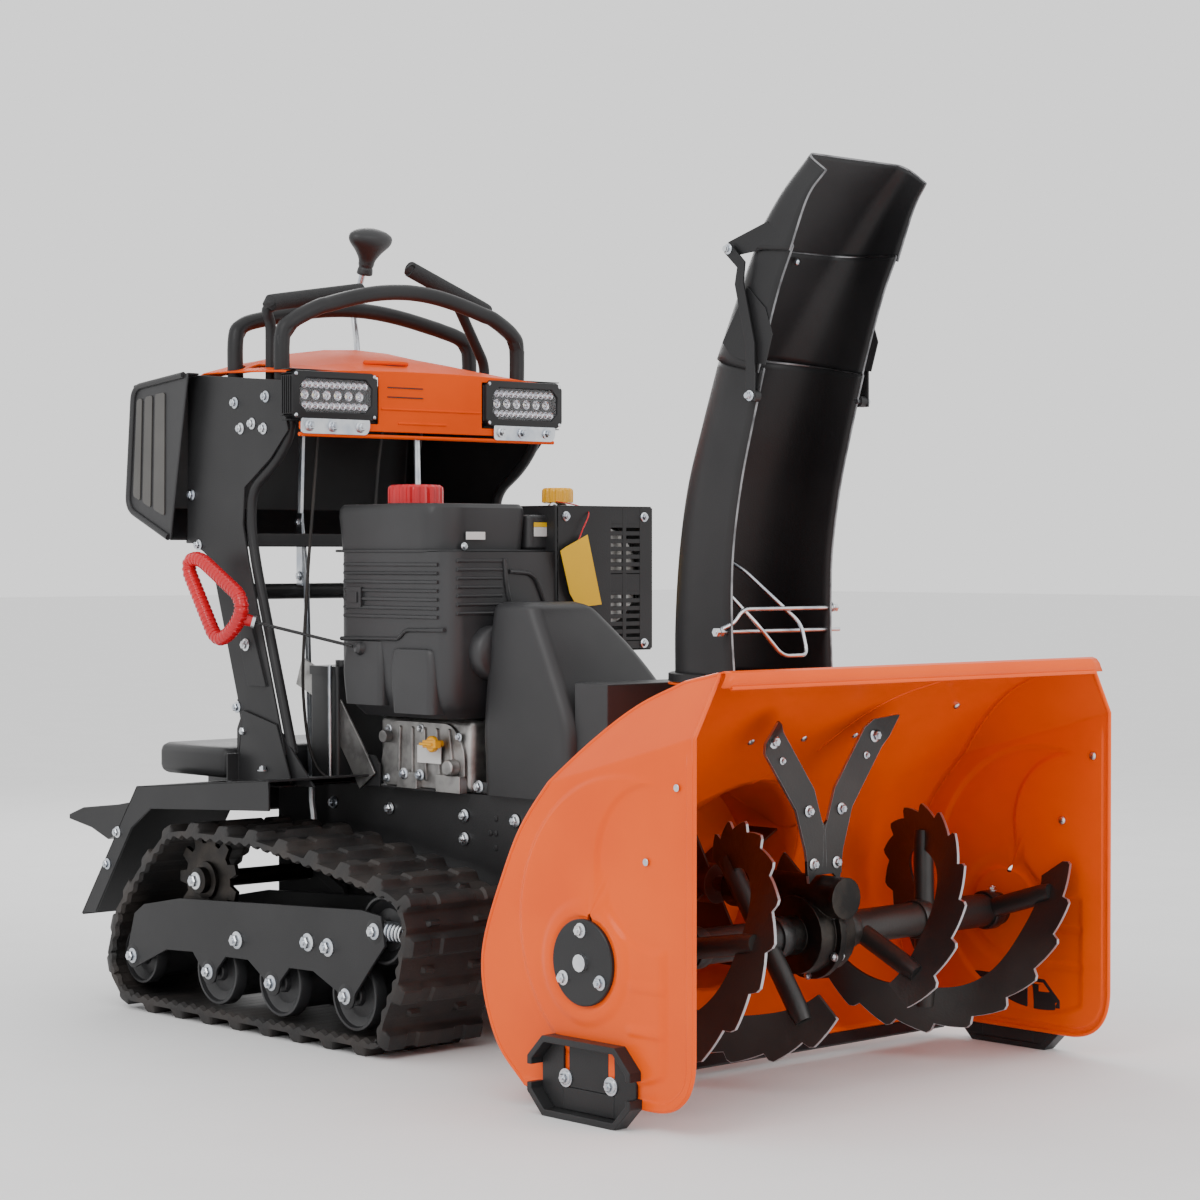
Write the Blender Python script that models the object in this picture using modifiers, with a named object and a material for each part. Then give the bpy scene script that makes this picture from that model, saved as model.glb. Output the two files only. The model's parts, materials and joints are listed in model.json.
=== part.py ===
# Two stage snowblower on rubber tracks, as separate named sub-parts.
# Metres, +Z up, front (auger) towards -Y, the operator's right side at -X.
# Sizes along Y are first laid out from the front edge of the auger housing,
# then the whole machine is moved so that its box is centred on the origin.
import math

import bpy
import bmesh
from mathutils import Matrix, Vector

for old in list(bpy.data.objects):
    bpy.data.objects.remove(old, do_unlink=True)

# Driving dimensions
WIDTH = 0.870          # auger housing, outside of the side plates
AUGER_R = 0.172        # sweep of the auger ribbons
AUGER_Y = 0.200        # auger shaft behind the front edge
AUGER_Z = 0.210
IMPELLER_R = 0.150
CHUTE_RISE = 0.743     # collar to the tip of the deflector
TRACK_OUT = 0.358      # outer edge of the tracks from the middle plane
TRACK_W = 0.195
SHEET = 0.003          # sheet steel
GAP = 0.0003           # between pieces that touch
RUN = 0.0005           # running clearance round shafts and pins
CENTRE_Y = 0.879       # middle of the machine behind the front edge

HALF = WIDTH / 2
WORM_OFFSET = 0.055
IMPELLER_Z = AUGER_Z + WORM_OFFSET
CHUTE_X = 0.040
CHUTE_Y = 0.375
CHUTE_Z = 0.570
CRANK_Z = 0.470
TRACTION_Z = 0.195
SPROCKET = (1.220, 0.227)
UPRIGHT_X = 0.270

parts = bpy.data.collections.new("two_stage_snowblower")
bpy.context.scene.collection.children.link(parts)
cutters = bpy.data.collections.new("cutters")
bpy.context.scene.collection.children.link(cutters)


def material(name, colour, metallic, roughness):
    mat = bpy.data.materials.new(name)
    mat.use_nodes = True
    node = mat.node_tree.nodes["Principled BSDF"]
    node.inputs["Base Color"].default_value = (*colour, 1)
    node.inputs["Metallic"].default_value = metallic
    node.inputs["Roughness"].default_value = roughness
    return mat


ORANGE = material("orange_paint", (0.95, 0.20, 0.02), 0.0, 0.3)
BLACK = material("black_paint", (0.02, 0.02, 0.022), 0.0, 0.4)
PLASTIC = material("black_plastic", (0.03, 0.03, 0.03), 0.0, 0.55)
ZINC = material("zinc_steel", (0.6, 0.6, 0.6), 1.0, 0.35)
CAST = material("cast_aluminium", (0.4, 0.4, 0.4), 1.0, 0.5)
IRON = material("cast_iron", (0.08, 0.08, 0.08), 1.0, 0.5)
RUBBER = material("rubber", (0.02, 0.02, 0.02), 0.0, 0.8)
RED = material("red_plastic", (0.6, 0.01, 0.02), 0.0, 0.4)
YELLOW = material("yellow_plastic", (0.8, 0.6, 0.02), 0.0, 0.4)
LENS = material("lamp_lens", (0.8, 0.8, 0.8), 0.0, 0.1)

TURN = {
    "x": Matrix(((0, 0, 1), (1, 0, 0), (0, 1, 0))),
    "y": Matrix(((1, 0, 0), (0, 0, -1), (0, 1, 0))),
    "z": Matrix.Identity(3),
}


def put(name, bm, mat=None, pivot=(0, 0, 0)):
    """Link a bmesh as an object with its origin at the pivot."""
    bmesh.ops.remove_doubles(bm, verts=bm.verts, dist=0.00002)
    bmesh.ops.translate(bm, verts=bm.verts, vec=-Vector(pivot))
    bmesh.ops.recalc_face_normals(bm, faces=bm.faces)
    mesh = bpy.data.meshes.new(name)
    bm.to_mesh(mesh)
    bm.free()
    ob = bpy.data.objects.new(name, mesh)
    ob.location = pivot
    if mat is None:
        cutters.objects.link(ob)
        ob.hide_render = True
        ob.display_type = "WIRE"
    else:
        mesh.materials.append(mat)
        parts.objects.link(ob)
    return ob


def bake(source):
    """Turn a curve or a modified object into a plain bmesh in world space."""
    bpy.context.scene.collection.objects.link(source)
    bpy.context.view_layer.update()
    graph = bpy.context.evaluated_depsgraph_get()
    mesh = bpy.data.meshes.new_from_object(source.evaluated_get(graph))
    bm = bmesh.new()
    bm.from_mesh(mesh)
    bmesh.ops.transform(bm, matrix=source.matrix_world, verts=bm.verts)
    bpy.data.objects.remove(source, do_unlink=True)
    bpy.data.meshes.remove(mesh)
    return bm


def plate(name, loops, axis, lo, hi, mat=None, pivot=(0, 0, 0)):
    """Flat outline with holes, filled and thickened along an axis."""
    curve = bpy.data.curves.new(name, "CURVE")
    curve.dimensions = "2D"
    curve.fill_mode = "BOTH"
    curve.extrude = abs(hi - lo) / 2
    for loop in loops:
        line = curve.splines.new("POLY")
        line.points.add(len(loop) - 1)
        for point, (u, v) in zip(line.points, loop):
            point.co = (u, v, 0, 1)
        line.use_cyclic_u = True
    ob = bpy.data.objects.new(name + "_curve", curve)
    turn = TURN[axis]
    middle = turn.col[2] * 1.0
    shift = {"x": 1, "y": -1, "z": 1}[axis] * (lo + hi) / 2
    ob.matrix_world = Matrix.Translation(middle * shift) @ turn.to_4x4()
    return put(name, bake(ob), mat, pivot)


def tube(name, points, radius, mat=None, pivot=(0, 0, 0), sides=1):
    """Round bar or wire along a path of points."""
    curve = bpy.data.curves.new(name, "CURVE")
    curve.dimensions = "3D"
    curve.bevel_depth = radius
    curve.bevel_resolution = sides
    curve.use_fill_caps = True
    line = curve.splines.new("POLY")
    line.points.add(len(points) - 1)
    for point, co in zip(line.points, points):
        point.co = (*co, 1)
    return put(name, bake(bpy.data.objects.new(name + "_curve", curve)), mat, pivot)


def turned(name, profile, axis, centre, steps=24, mat=None, pivot=None):
    """Profile of (radius, height) spun round an axis through the centre."""
    mesh = bpy.data.meshes.new(name)
    edges = [(i, i + 1) for i in range(len(profile) - 1)]
    if profile[0][0] > 0 and profile[-1][0] > 0:
        edges.append((len(profile) - 1, 0))
    mesh.from_pydata([(r, 0, h) for r, h in profile], edges, [])
    ob = bpy.data.objects.new(name + "_profile", mesh)
    screw = ob.modifiers.new("turn", "SCREW")
    screw.steps = steps
    screw.render_steps = steps
    screw.use_merge_vertices = True
    screw.merge_threshold = 0.0001
    ob.matrix_world = Matrix.Translation(centre) @ TURN[axis].to_4x4()
    return put(name, bake(ob), mat, centre if pivot is None else pivot)


def rod(name, radius, axis, centre, lo, hi, steps=12, mat=None, pivot=None):
    """Cylinder along an axis between two values of that coordinate."""
    lo, hi = sorted((lo, hi))
    bm = bmesh.new()
    bmesh.ops.create_cone(
        bm, cap_ends=True, segments=steps, radius1=radius, radius2=radius, depth=hi - lo
    )
    place = list(centre)
    place["xyz".index(axis)] = (lo + hi) / 2
    matrix = Matrix.Translation(place) @ TURN[axis].to_4x4()
    bmesh.ops.transform(bm, matrix=matrix, verts=bm.verts)
    return put(name, bm, mat, place if pivot is None else pivot)


def box(name, lo, hi, mat=None, round_by=0.0, pivot=None):
    """Box between two corners, its edges rounded when round_by is given."""
    size = Vector(hi) - Vector(lo)
    middle = (Vector(hi) + Vector(lo)) / 2
    bm = bmesh.new()
    bmesh.ops.create_cube(bm, size=1)
    bmesh.ops.scale(bm, vec=size, verts=bm.verts)
    bmesh.ops.translate(bm, vec=middle, verts=bm.verts)
    if round_by:
        bmesh.ops.bevel(
            bm, geom=bm.edges[:], offset=round_by, segments=2, affect="EDGES", profile=0.5
        )
    return put(name, bm, mat, middle if pivot is None else pivot)


def combine(ob, other, operation):
    mod = ob.modifiers.new(operation.lower(), "BOOLEAN")
    mod.operation = operation
    mod.solver = "EXACT"
    mod.object = other


def cut(ob, *others):
    for other in others:
        combine(ob, other, "DIFFERENCE")


def weld(ob, *others):
    for other in others:
        combine(ob, other, "UNION")


def ring(radius, count=16, centre=(0, 0), start=0.0):
    """Points of a circle."""
    return [
        (
            centre[0] + radius * math.cos(start + 2 * math.pi * i / count),
            centre[1] + radius * math.sin(start + 2 * math.pi * i / count),
        )
        for i in range(count)
    ]


def inset(loop, by):
    """Move a counterclockwise outline inwards by a distance."""
    out = []
    for i, point in enumerate(loop):
        before = Vector(loop[i - 1])
        here = Vector(point)
        after = Vector(loop[(i + 1) % len(loop)])
        one = (here - before).normalized()
        two = (after - here).normalized()
        side = (Vector((-one.y, one.x)) + Vector((-two.y, two.x))).normalized()
        reach = by / max(0.3, side.dot(Vector((-one.y, one.x))))
        out.append(tuple(here + side * reach))
    return out


def strip(path, thick):
    """Outline of a bent sheet: a path and the same path moved to its left."""
    back = []
    for i, point in enumerate(path):
        here = Vector(point)
        one = (here - Vector(path[i - 1])).normalized() if i else None
        two = (Vector(path[i + 1]) - here).normalized() if i < len(path) - 1 else None
        one = one or two
        two = two or one
        side = (Vector((-one.y, one.x)) + Vector((-two.y, two.x))).normalized()
        back.append(tuple(here + side * thick / side.dot(Vector((-one.y, one.x)))))
    return list(path) + back[::-1]


def hull(circles, count=24):
    """Outline round two circles, as a belt lies round two pulleys."""
    points = [p for r, c in circles for p in ring(r, count, c)]
    points.sort()
    lines = []
    for run in (points, points[::-1]):
        line = []
        for p in run:
            while len(line) > 1 and (
                (line[-1][0] - line[-2][0]) * (p[1] - line[-2][1])
                - (line[-1][1] - line[-2][1]) * (p[0] - line[-2][0])
            ) <= 1e-9:
                line.pop()
            line.append(p)
        lines += line[:-1]
    return lines


def sheet(name, points, faces, thick, mat=None, offset=-1.0):
    """Open surface made solid by one thickness."""
    mesh = bpy.data.meshes.new(name)
    mesh.from_pydata(points, [], faces)
    bm = bmesh.new()
    bm.from_mesh(mesh)
    bmesh.ops.recalc_face_normals(bm, faces=bm.faces)
    bm.to_mesh(mesh)
    bm.free()
    ob = bpy.data.objects.new(name, mesh)
    if mat is None:
        cutters.objects.link(ob)
        ob.hide_render = True
        ob.display_type = "WIRE"
    else:
        mesh.materials.append(mat)
        parts.objects.link(ob)
    solid = ob.modifiers.new("thickness", "SOLIDIFY")
    solid.thickness = thick
    solid.offset = offset
    solid.use_even_offset = True
    return ob


# Auger housing: two side plates, the wrapped back sheet, scraper and bearings
SIDE_REAR = [
    (0.324, 0.031), (0.376, 0.076), (0.404, 0.132), (0.413, 0.184), (0.404, 0.233),
    (0.372, 0.307), (0.333, 0.379), (0.276, 0.444), (0.212, 0.504), (0.146, 0.550),
    (0.065, 0.584),
]


def half_width(y, z):
    """Outer half width: the upper corners lean in above a sloping crease."""
    crease = 0.517 - 0.2645 * y
    return HALF - max(0.0, 0.578 * (z - crease))


stations = SIDE_REAR + [(-0.009, 0.600), (-0.013, 0.580)]
points = []
for y, z in stations:
    half = half_width(y, z) - SHEET / 2
    points += [(-half, y, z), (half, y, z)]
faces = [(2 * i, 2 * i + 1, 2 * i + 3, 2 * i + 2) for i in range(len(stations) - 1)]
housing = sheet("auger_housing", points, faces, SHEET, ORANGE)
cut(housing, rod("impeller_mouth", IMPELLER_R + 0.006, "y", (0, 0, IMPELLER_Z), 0.24, 0.46, 28))

auger_axis = (0, AUGER_Y, AUGER_Z)
for s, tag in ((-1, "r"), (1, "l")):
    low = [(0.0, 0.517), (0.0, 0.090), (0.018, 0.048), (0.060, 0.030)] + SIDE_REAR[:8]
    high = [(0.0, 0.517), (0.276, 0.444)] + SIDE_REAR[8:] + [(0.0, 0.597)]
    flat = [(s * HALF, y, z) for y, z in low]
    lean = [(s * half_width(y, z), y, z) for y, z in high[2:]]
    points = flat + lean
    faces = [list(range(12)), [0, 11] + list(range(12, 12 + len(lean)))]
    if s > 0:
        faces = [f[::-1] for f in faces]
    side = sheet("side_plate_" + tag, points, faces, SHEET)
    bearing = rod("bearing_cover_" + tag, 0.058, "x", auger_axis,
                  s * (HALF - 0.001), s * (HALF + 0.007), 28)
    boss = rod("boss_" + tag, 0.024, "x", auger_axis,
               s * (HALF - 0.008), s * (HALF + 0.018), 16)
    weld(housing, side, bearing, boss)
    cut(housing, rod("bearing_bore_" + tag, 0.0120 + RUN, "x", auger_axis,
                     s * HALF - 0.03, s * HALF + 0.03, 12))
    octagon = [
        (0.122, 0.0), (0.263, 0.0), (0.293, 0.030), (0.293, 0.078),
        (0.263, 0.108), (0.122, 0.108), (0.092, 0.078), (0.092, 0.030),
    ]
    inner = [
        (0.124, 0.004), (0.261, 0.004), (0.305, 0.040), (0.305, 0.068),
        (0.261, 0.104), (0.124, 0.104), (0.080, 0.068), (0.080, 0.040),
    ]
    shoe = plate("skid_shoe_" + tag, [octagon], "x", s * (HALF + GAP), s * (HALF + 0.037), BLACK)
    cut(shoe, plate("shoe_tray_" + tag, [inner], "x", s * (HALF + 0.0045), s * (HALF + 0.05)))
    for n, y in enumerate((0.148, 0.236)):
        slot = [(y - 0.0055, 0.040), (y + 0.0055, 0.040), (y + 0.0055, 0.096), (y - 0.0055, 0.096)]
        cut(shoe, plate(f"shoe_slot_{tag}{n}", [slot], "x", s * (HALF - 0.01), s * (HALF + 0.02)))

# The scraper bar lies flat under the lower edge of the back sheet
EDGE = Vector(SIDE_REAR[0])
ALONG = (Vector(SIDE_REAR[1]) - EDGE).normalized()
UNDER = Vector((ALONG.y, -ALONG.x))
SCRAPER_T = 0.005
near = EDGE + UNDER * (SHEET / 2 + GAP)
far = near + UNDER * SCRAPER_T
scraper = [near - ALONG * 0.020, near + ALONG * 0.022, far + ALONG * 0.022, far - ALONG * 0.020]
plate("scraper_bar", [[tuple(p) for p in scraper]], "x", -HALF + 0.006, HALF - 0.006, BLACK)

# Auger: one toothed pair of ribbons on each side of the gearbox
def ribbon(name, s, phase, x0, x1, turn, r_in, r_out, thick, n=14, mat=None):
    bm = bmesh.new()
    rings = []
    for i in range(n + 1):
        t = i / n
        a = phase + turn * t * s
        x = s * (x0 + (x1 - x0) * t)
        cs, sn = math.cos(a), math.sin(a)
        rows = [(r_in, -thick), (r_out, -thick), (r_out, thick), (r_in, thick)]
        rings.append([
            bm.verts.new((x + w / 2, AUGER_Y + r * cs, AUGER_Z + r * sn)) for r, w in rows
        ])
    for a, b in zip(rings, rings[1:]):
        for k in range(4):
            bm.faces.new((a[k], a[(k + 1) % 4], b[(k + 1) % 4], b[k]))
    bm.faces.new(rings[0])
    bm.faces.new(rings[-1])
    return put(name, bm, mat)


shaft = rod("auger_shaft", 0.0120, "x", auger_axis, -HALF - 0.016, HALF + 0.016, 12, ZINC)
X_IN = 0.062
X_OUT = HALF - 0.014
for s, tag in ((-1, "r"), (1, "l")):
    auger = plate(
        "auger_" + tag,
        [ring(0.0250, 14, (AUGER_Y, AUGER_Z)), ring(0.0123, 12, (AUGER_Y, AUGER_Z))],
        "x", s * X_IN, s * X_OUT, BLACK, auger_axis,
    )
    for k in range(2):
        phase = math.pi * k + 0.7
        turn = -4.4
        band = ribbon(f"band_{tag}{k}", s, phase, X_IN + 0.012, X_OUT - 0.010, turn,
                      AUGER_R - 0.060, AUGER_R, 0.0040)
        weld(auger, band)
        for m, t in enumerate((0.06, 0.52, 0.94)):
            a = phase + turn * t * s
            x = s * (X_IN + 0.012 + (X_OUT - X_IN - 0.022) * t)
            arm = tube(
                f"arm_{tag}{k}{m}",
                [(x, AUGER_Y + r * math.cos(a), AUGER_Z + r * math.sin(a))
                 for r in (0.0185, AUGER_R - 0.030)],
                0.0140,
            )
            weld(auger, arm)

# Gearbox in two halves, worm wheel inside, cutter arms bolted on top
weld(shaft, rod("worm_wheel", 0.040, "x", auger_axis, -0.011, 0.011, 28))
case = rod("gearbox_case", 0.056, "x", auger_axis, -0.036, 0.036, 24, IRON)
weld(case, rod("worm_case", 0.030, "y", (0, 0, IMPELLER_Z), 0.130, 0.352, 20))
weld(case, rod("case_hub", 0.028, "x", auger_axis, -0.060, 0.060, 20))
weld(case, rod("case_flange", 0.066, "x", auger_axis, -0.006, 0.006, 24))
cut(case, rod("wheel_room", 0.047, "x", auger_axis, -0.028, 0.028, 24))
cut(case, rod("worm_room", 0.0195, "y", (0, 0, IMPELLER_Z), 0.140, 0.250, 16))
cut(case, rod("worm_bore", 0.0122 + RUN, "y", (0, 0, IMPELLER_Z), 0.145, 0.400, 14))
cut(case, rod("shaft_bore", 0.0120 + RUN, "x", auger_axis, -0.09, 0.09, 14))
plate("cutter_arms", [[
    (-0.036, 0.2962), (0.036, 0.2962), (0.038, 0.3120), (0.062, 0.3980), (0.128, 0.4820), (0.128, 0.5200),
    (0.092, 0.5060), (0.020, 0.4180), (0.000, 0.3620), (-0.020, 0.4180), (-0.092, 0.5060), (-0.128, 0.5200),
    (-0.128, 0.4820), (-0.062, 0.3980), (-0.038, 0.3120),
]], "y", 0.172, 0.177, BLACK)

# Impeller, its shaft with the worm, and its pulley
worm_axis = (0, 0.430, IMPELLER_Z)
hub = rod("impeller", 0.030, "y", worm_axis, 0.385, 0.478, 16, BLACK, worm_axis)
weld(hub, rod("impeller_shaft", 0.0122, "y", worm_axis, 0.1480, 0.527, 12))
weld(hub, rod("worm_thread", 0.0140, "y", worm_axis, 0.165, 0.235, 12))
for k in range(4):
    a = math.pi / 2 * k + 0.5
    u = Vector((math.cos(a), math.sin(a)))
    v = Vector((-u.y, u.x)) * 0.002
    c = Vector((0, IMPELLER_Z))
    blade = [c + u * 0.024 - v, c + u * IMPELLER_R - v, c + u * IMPELLER_R + v, c + u * 0.024 + v]
    weld(hub, plate(f"blade_{k}", [[tuple(p) for p in blade]], "y", 0.390, 0.472))

# Impeller drum with the chute neck; its front follows the back of the housing
drum = rod("impeller_drum", IMPELLER_R + 0.009, "y", (0, 0, IMPELLER_Z), 0.260, 0.487, 32)
weld(drum, rod("neck", 0.0985, "z", (CHUTE_X, CHUTE_Y, 0), 0.350, CHUTE_Z - 0.008, 28))
weld(drum, rod("neck_flange", 0.110, "z", (CHUTE_X, CHUTE_Y, 0), CHUTE_Z - 0.0100, CHUTE_Z - 0.0060, 28))
cut(drum, rod("drum_room", IMPELLER_R + 0.006, "y", (0, 0, IMPELLER_Z), 0.200, 0.484, 32))
cut(drum, rod("neck_room", 0.0955, "z", (CHUTE_X, CHUTE_Y, 0), 0.330, 0.700, 28))
outline = inset([(-0.10, -0.02), (0.324, -0.02)] + SIDE_REAR + [(-0.10, 0.640)], SHEET / 2)
cut(drum, plate("housing_room", [outline], "x", -0.30, 0.30))
weld(housing, drum)
cut(housing, rod("drum_bore", 0.0128, "y", worm_axis, 0.470, 0.50, 14))

# Chute: ring and curved body, middle flap, deflector, links, wire guard
def rise(z):
    return CHUTE_Z + (z - 0.570) * CHUTE_RISE / 0.743


def channel(name, rows, thick, mat, pivot, n=6):
    """U channel open to the front; each row: height, half width, front and
    back of the side walls, corner radius and lean of the row."""
    bm = bmesh.new()
    loops = []
    for z0, z1, half, front, rear, corner in rows:
        line = [(-half, front)]
        for side in (-1, 1):
            for i in range(n):
                a = math.pi / 2 * i / (n - 1)
                if side < 0:
                    p = (-half + corner - corner * math.cos(a), rear - corner + corner * math.sin(a))
                else:
                    p = (half - corner + corner * math.sin(a), rear - corner + corner * math.cos(a))
                line.append(p)
        line.append((half, front))
        depth = rear - front
        loops.append([
            bm.verts.new((CHUTE_X + x, y, rise(z0 + (z1 - z0) * (y - front) / depth)))
            for x, y in line
        ])
    for a, b in zip(loops, loops[1:]):
        for k in range(len(a) - 1):
            bm.faces.new((a[k], a[k + 1], b[k + 1], b[k]))
    bmesh.ops.translate(bm, verts=bm.verts, vec=-Vector(pivot))
    bmesh.ops.recalc_face_normals(bm, faces=bm.faces)
    mesh = bpy.data.meshes.new(name)
    bm.to_mesh(mesh)
    bm.free()
    mesh.materials.append(mat)
    ob = bpy.data.objects.new(name, mesh)
    ob.location = pivot
    parts.objects.link(ob)
    solid = ob.modifiers.new("thickness", "SOLIDIFY")
    solid.thickness = thick
    solid.offset = 0.0
    solid.use_even_offset = True
    return ob


body_rows = [
    (0.5740, 0.5740, 0.1035, 0.290, 0.4690, 0.100),
    (0.6500, 0.6500, 0.1050, 0.294, 0.4670, 0.100),
    (0.7500, 0.7500, 0.1050, 0.292, 0.4590, 0.100),
    (0.8500, 0.8500, 0.1050, 0.276, 0.4380, 0.095),
    (0.9400, 0.9400, 0.1050, 0.252, 0.4020, 0.085),
    (1.0000, 1.0350, 0.1050, 0.234, 0.3640, 0.075),
]
chute_axis = (CHUTE_X, CHUTE_Y, CHUTE_Z)
chute = channel("chute_body", body_rows, SHEET, BLACK, chute_axis)
base = plate(
    "chute_ring", [ring(0.1100, 28, (CHUTE_X, CHUTE_Y)), ring(0.0960, 28, (CHUTE_X, CHUTE_Y))],
    "z", CHUTE_Z - 0.0055, CHUTE_Z + 0.006,
)
weld(chute, base)
flap_pivot = (CHUTE_X, 0.3580, rise(1.0450))
flap_rows = [
    (1.0300, 1.0480, 0.1095, 0.236, 0.3560, 0.070),
    (1.1200, 1.1250, 0.1095, 0.200, 0.3070, 0.055),
    (1.1850, 1.1880, 0.1095, 0.170, 0.2650, 0.040),
]
channel("chute_flap", flap_rows, SHEET, BLACK, flap_pivot)
tip_pivot = (CHUTE_X, 0.2620, rise(1.1920))
tip_rows = [
    (1.1930, 1.1930, 0.1140, 0.172, 0.2620, 0.036),
    (1.2500, 1.2600, 0.1120, 0.140, 0.2080, 0.030),
    (1.2850, 1.3130, 0.1060, 0.111, 0.1500, 0.018),
]
tip = channel("chute_deflector", tip_rows, SHEET, BLACK, tip_pivot)
LINK_Y, LINK_Z = 0.2420, rise(0.9770)
TOP_Y, TOP_Z = 0.2880, rise(1.1880)
for s, tag in ((-1, "r"), (1, "l")):
    ear = [(0.225, rise(1.197)), (0.292, rise(1.183)), (0.292, rise(1.199)), (0.225, rise(1.222))]
    weld(tip, plate("ear_" + tag, [ear], "x", CHUTE_X + s * 0.1125, CHUTE_X + s * 0.1152))
    path = [
        (LINK_Y - 0.008, LINK_Z - 0.008), (LINK_Y + 0.008, LINK_Z - 0.008),
        (LINK_Y + 0.008, rise(1.050)), (0.276, rise(1.155)), (TOP_Y + 0.008, TOP_Z - 0.004),
        (TOP_Y + 0.006, TOP_Z + 0.007), (TOP_Y - 0.006, TOP_Z + 0.007), (0.260, rise(1.160)),
        (LINK_Y - 0.008, rise(1.055)),
    ]
    link = plate("deflector_link_" + tag, [path], "x", CHUTE_X + s * 0.1190, CHUTE_X + s * 0.1220,
                 BLACK, (CHUTE_X, LINK_Y, LINK_Z))
    post = rod("link_post_" + tag, 0.0055, "x", (0, LINK_Y, LINK_Z),
               CHUTE_X + min(s * 0.1072, s * 0.1200), CHUTE_X + max(s * 0.1072, s * 0.1200), 8)
    weld(link, post)
guard = tube("guard_finger", [
    (CHUTE_X - 0.085, 0.345, rise(0.775)), (CHUTE_X - 0.060, 0.325, rise(0.720)),
    (CHUTE_X - 0.020, 0.290, rise(0.615)), (CHUTE_X + 0.030, 0.290, rise(0.615)),
    (CHUTE_X + 0.000, 0.325, rise(0.720)), (CHUTE_X - 0.025, 0.345, rise(0.775)),
], 0.0030)
for n, (y, z) in enumerate(((0.302, rise(0.640)), (0.312, rise(0.672)))):
    weld(guard, tube(f"guard_rod_{n}", [(CHUTE_X - 0.1160, y, z), (CHUTE_X + 0.1160, y, z)], 0.0035))
weld(chute, guard)

# Chassis: folded frame, bottom cover, rear parts, engine drive
RAIL = 0.125
frame = plate("chassis_frame", [[
    (-RAIL, 0.120), (-RAIL, 0.380), (RAIL, 0.380), (RAIL, 0.120),
    (RAIL - 0.004, 0.120), (RAIL - 0.004, 0.376), (-RAIL + 0.004, 0.376), (-RAIL + 0.004, 0.120),
]], "y", 0.492, 1.300, BLACK)
cut(frame, box("belt_opening", (-0.105, 0.480, 0.340), (0.105, 0.600, 0.400)))
for s in (-1, 1):
    cut(frame, rod(f"axle_hole_{s}", 0.0150, "x", (0, *SPROCKET), min(0, s * 0.2), max(0, s * 0.2)))
weld(frame, box("bottom_cover", (-RAIL + 0.001, 0.520, 0.1165), (RAIL - 0.001, 1.290, 0.1210)))
box("transaxle", (-0.100, 1.090, 0.150), (0.100, 1.280, 0.310), CAST, 0.015)
PULLEY = [(0.0100, 0.012), (0.030, 0.012), (0.030, 0.006), (1.0, 0.010), (1.0, 0.007),
          (0.88, 0.000), (1.0, -0.007), (1.0, -0.010), (0.030, -0.006), (0.030, -0.012), (0.0100, -0.012)]


def pulley(name, radius, y, z):
    rows = [(r * radius if i in (3, 4, 5, 6, 7) else r, h) for i, (r, h) in enumerate(PULLEY)]
    return turned(name, rows, "y", (0, y, z), 16)


weld(hub, pulley("impeller_pulley", 0.100, 0.510, IMPELLER_Z))
crank = rod("crankshaft", 0.0123, "y", (0, 0.6, CRANK_Z), 0.494, 0.900, 12, ZINC)
weld(crank, pulley("engine_pulley", 0.045, 0.510, CRANK_Z), pulley("drive_pulley", 0.045, 0.536, CRANK_Z))
drive_shaft = rod("drive_shaft", 0.0123, "y", (0, 0.8, TRACTION_Z), 0.5305, 1.0890, 12, ZINC)
weld(drive_shaft, pulley("traction_pulley", 0.050, 0.536, TRACTION_Z))
for name, one, two, y in (
    ("auger_belt", (0.0920, (0, IMPELLER_Z)), (0.0422, (0, CRANK_Z)), 0.510),
    ("traction_belt", (0.0470, (0, TRACTION_Z)), (0.0422, (0, CRANK_Z)), 0.536),
):
    outer = hull([(one[0] + 0.0060, one[1]), (two[0] + 0.0060, two[1])])
    inner = hull([(one[0] + 0.0007, one[1]), (two[0] + 0.0007, two[1])])
    plate(name, [outer, inner], "y", y - 0.0016, y + 0.0016, RUBBER)

# Belt cover: a hood that narrows upwards, open underneath and to the front
hood = [
    (0.4885, 0.3815), (0.7560, 0.3815), (0.7480, 0.6820), (0.5180, 0.6820), (0.4885, 0.5900),
]
cover = plate("belt_cover", [hood], "x", -0.128, 0.128, PLASTIC)
cut(cover, plate("cover_room", [[
    (0.4920, 0.30), (0.7520, 0.30), (0.7440, 0.678), (0.521, 0.678), (0.4920, 0.5890),
]], "x", -0.124, 0.124))
cut(cover, rod("cover_bore", 0.0200, "y", (0, 0, CRANK_Z), 0.70, 0.80, 12))

# Engine
engine = box("engine_block", (-0.134, 0.7900, 0.3803), (0.120, 1.0190, 0.4965), CAST, 0.012)
cut(engine, rod("crank_bore", 0.0130, "y", (0, 0, CRANK_Z), 0.75, 0.92, 12))
weld(engine, box("cylinder_head", (0.1186, 0.800, 0.400), (0.215, 0.990, 0.560), None, 0.0))
weld(engine, rod("oil_neck", 0.016, "z", (0.150, 0.905, 0), 0.550, 0.8350, 14))
shroud = box("engine_shroud", (-0.200, 0.7630, 0.4968), (0.118, 1.0450, 0.7560), PLASTIC, 0.030)
box("fuel_tank", (-0.200, 0.7860, 0.7563), (-0.018, 1.0500, 0.8300), PLASTIC, 0.018)
turned("fuel_cap", [(0, 0.032), (0.034, 0.032), (0.043, 0.026), (0.043, 0.004), (0.036, 0), (0, 0)],
             "z", (-0.130, 0.930, 0.8303), 24, RED)
turned("oil_cap", [(0, 0.026), (0.018, 0.026), (0.025, 0.020), (0.025, 0.003), (0.020, 0), (0, 0)],
             "z", (0.150, 0.905, 0.8353), 18, YELLOW)
guard_box = box("muffler_guard", (0.016, 0.7575, 0.5970), (0.226, 0.8600, 0.8290), BLACK, 0.006)
cut(guard_box, box("muffler_room", (0.020, 0.7615, 0.6010), (0.222, 0.9000, 0.8250)))
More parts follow.
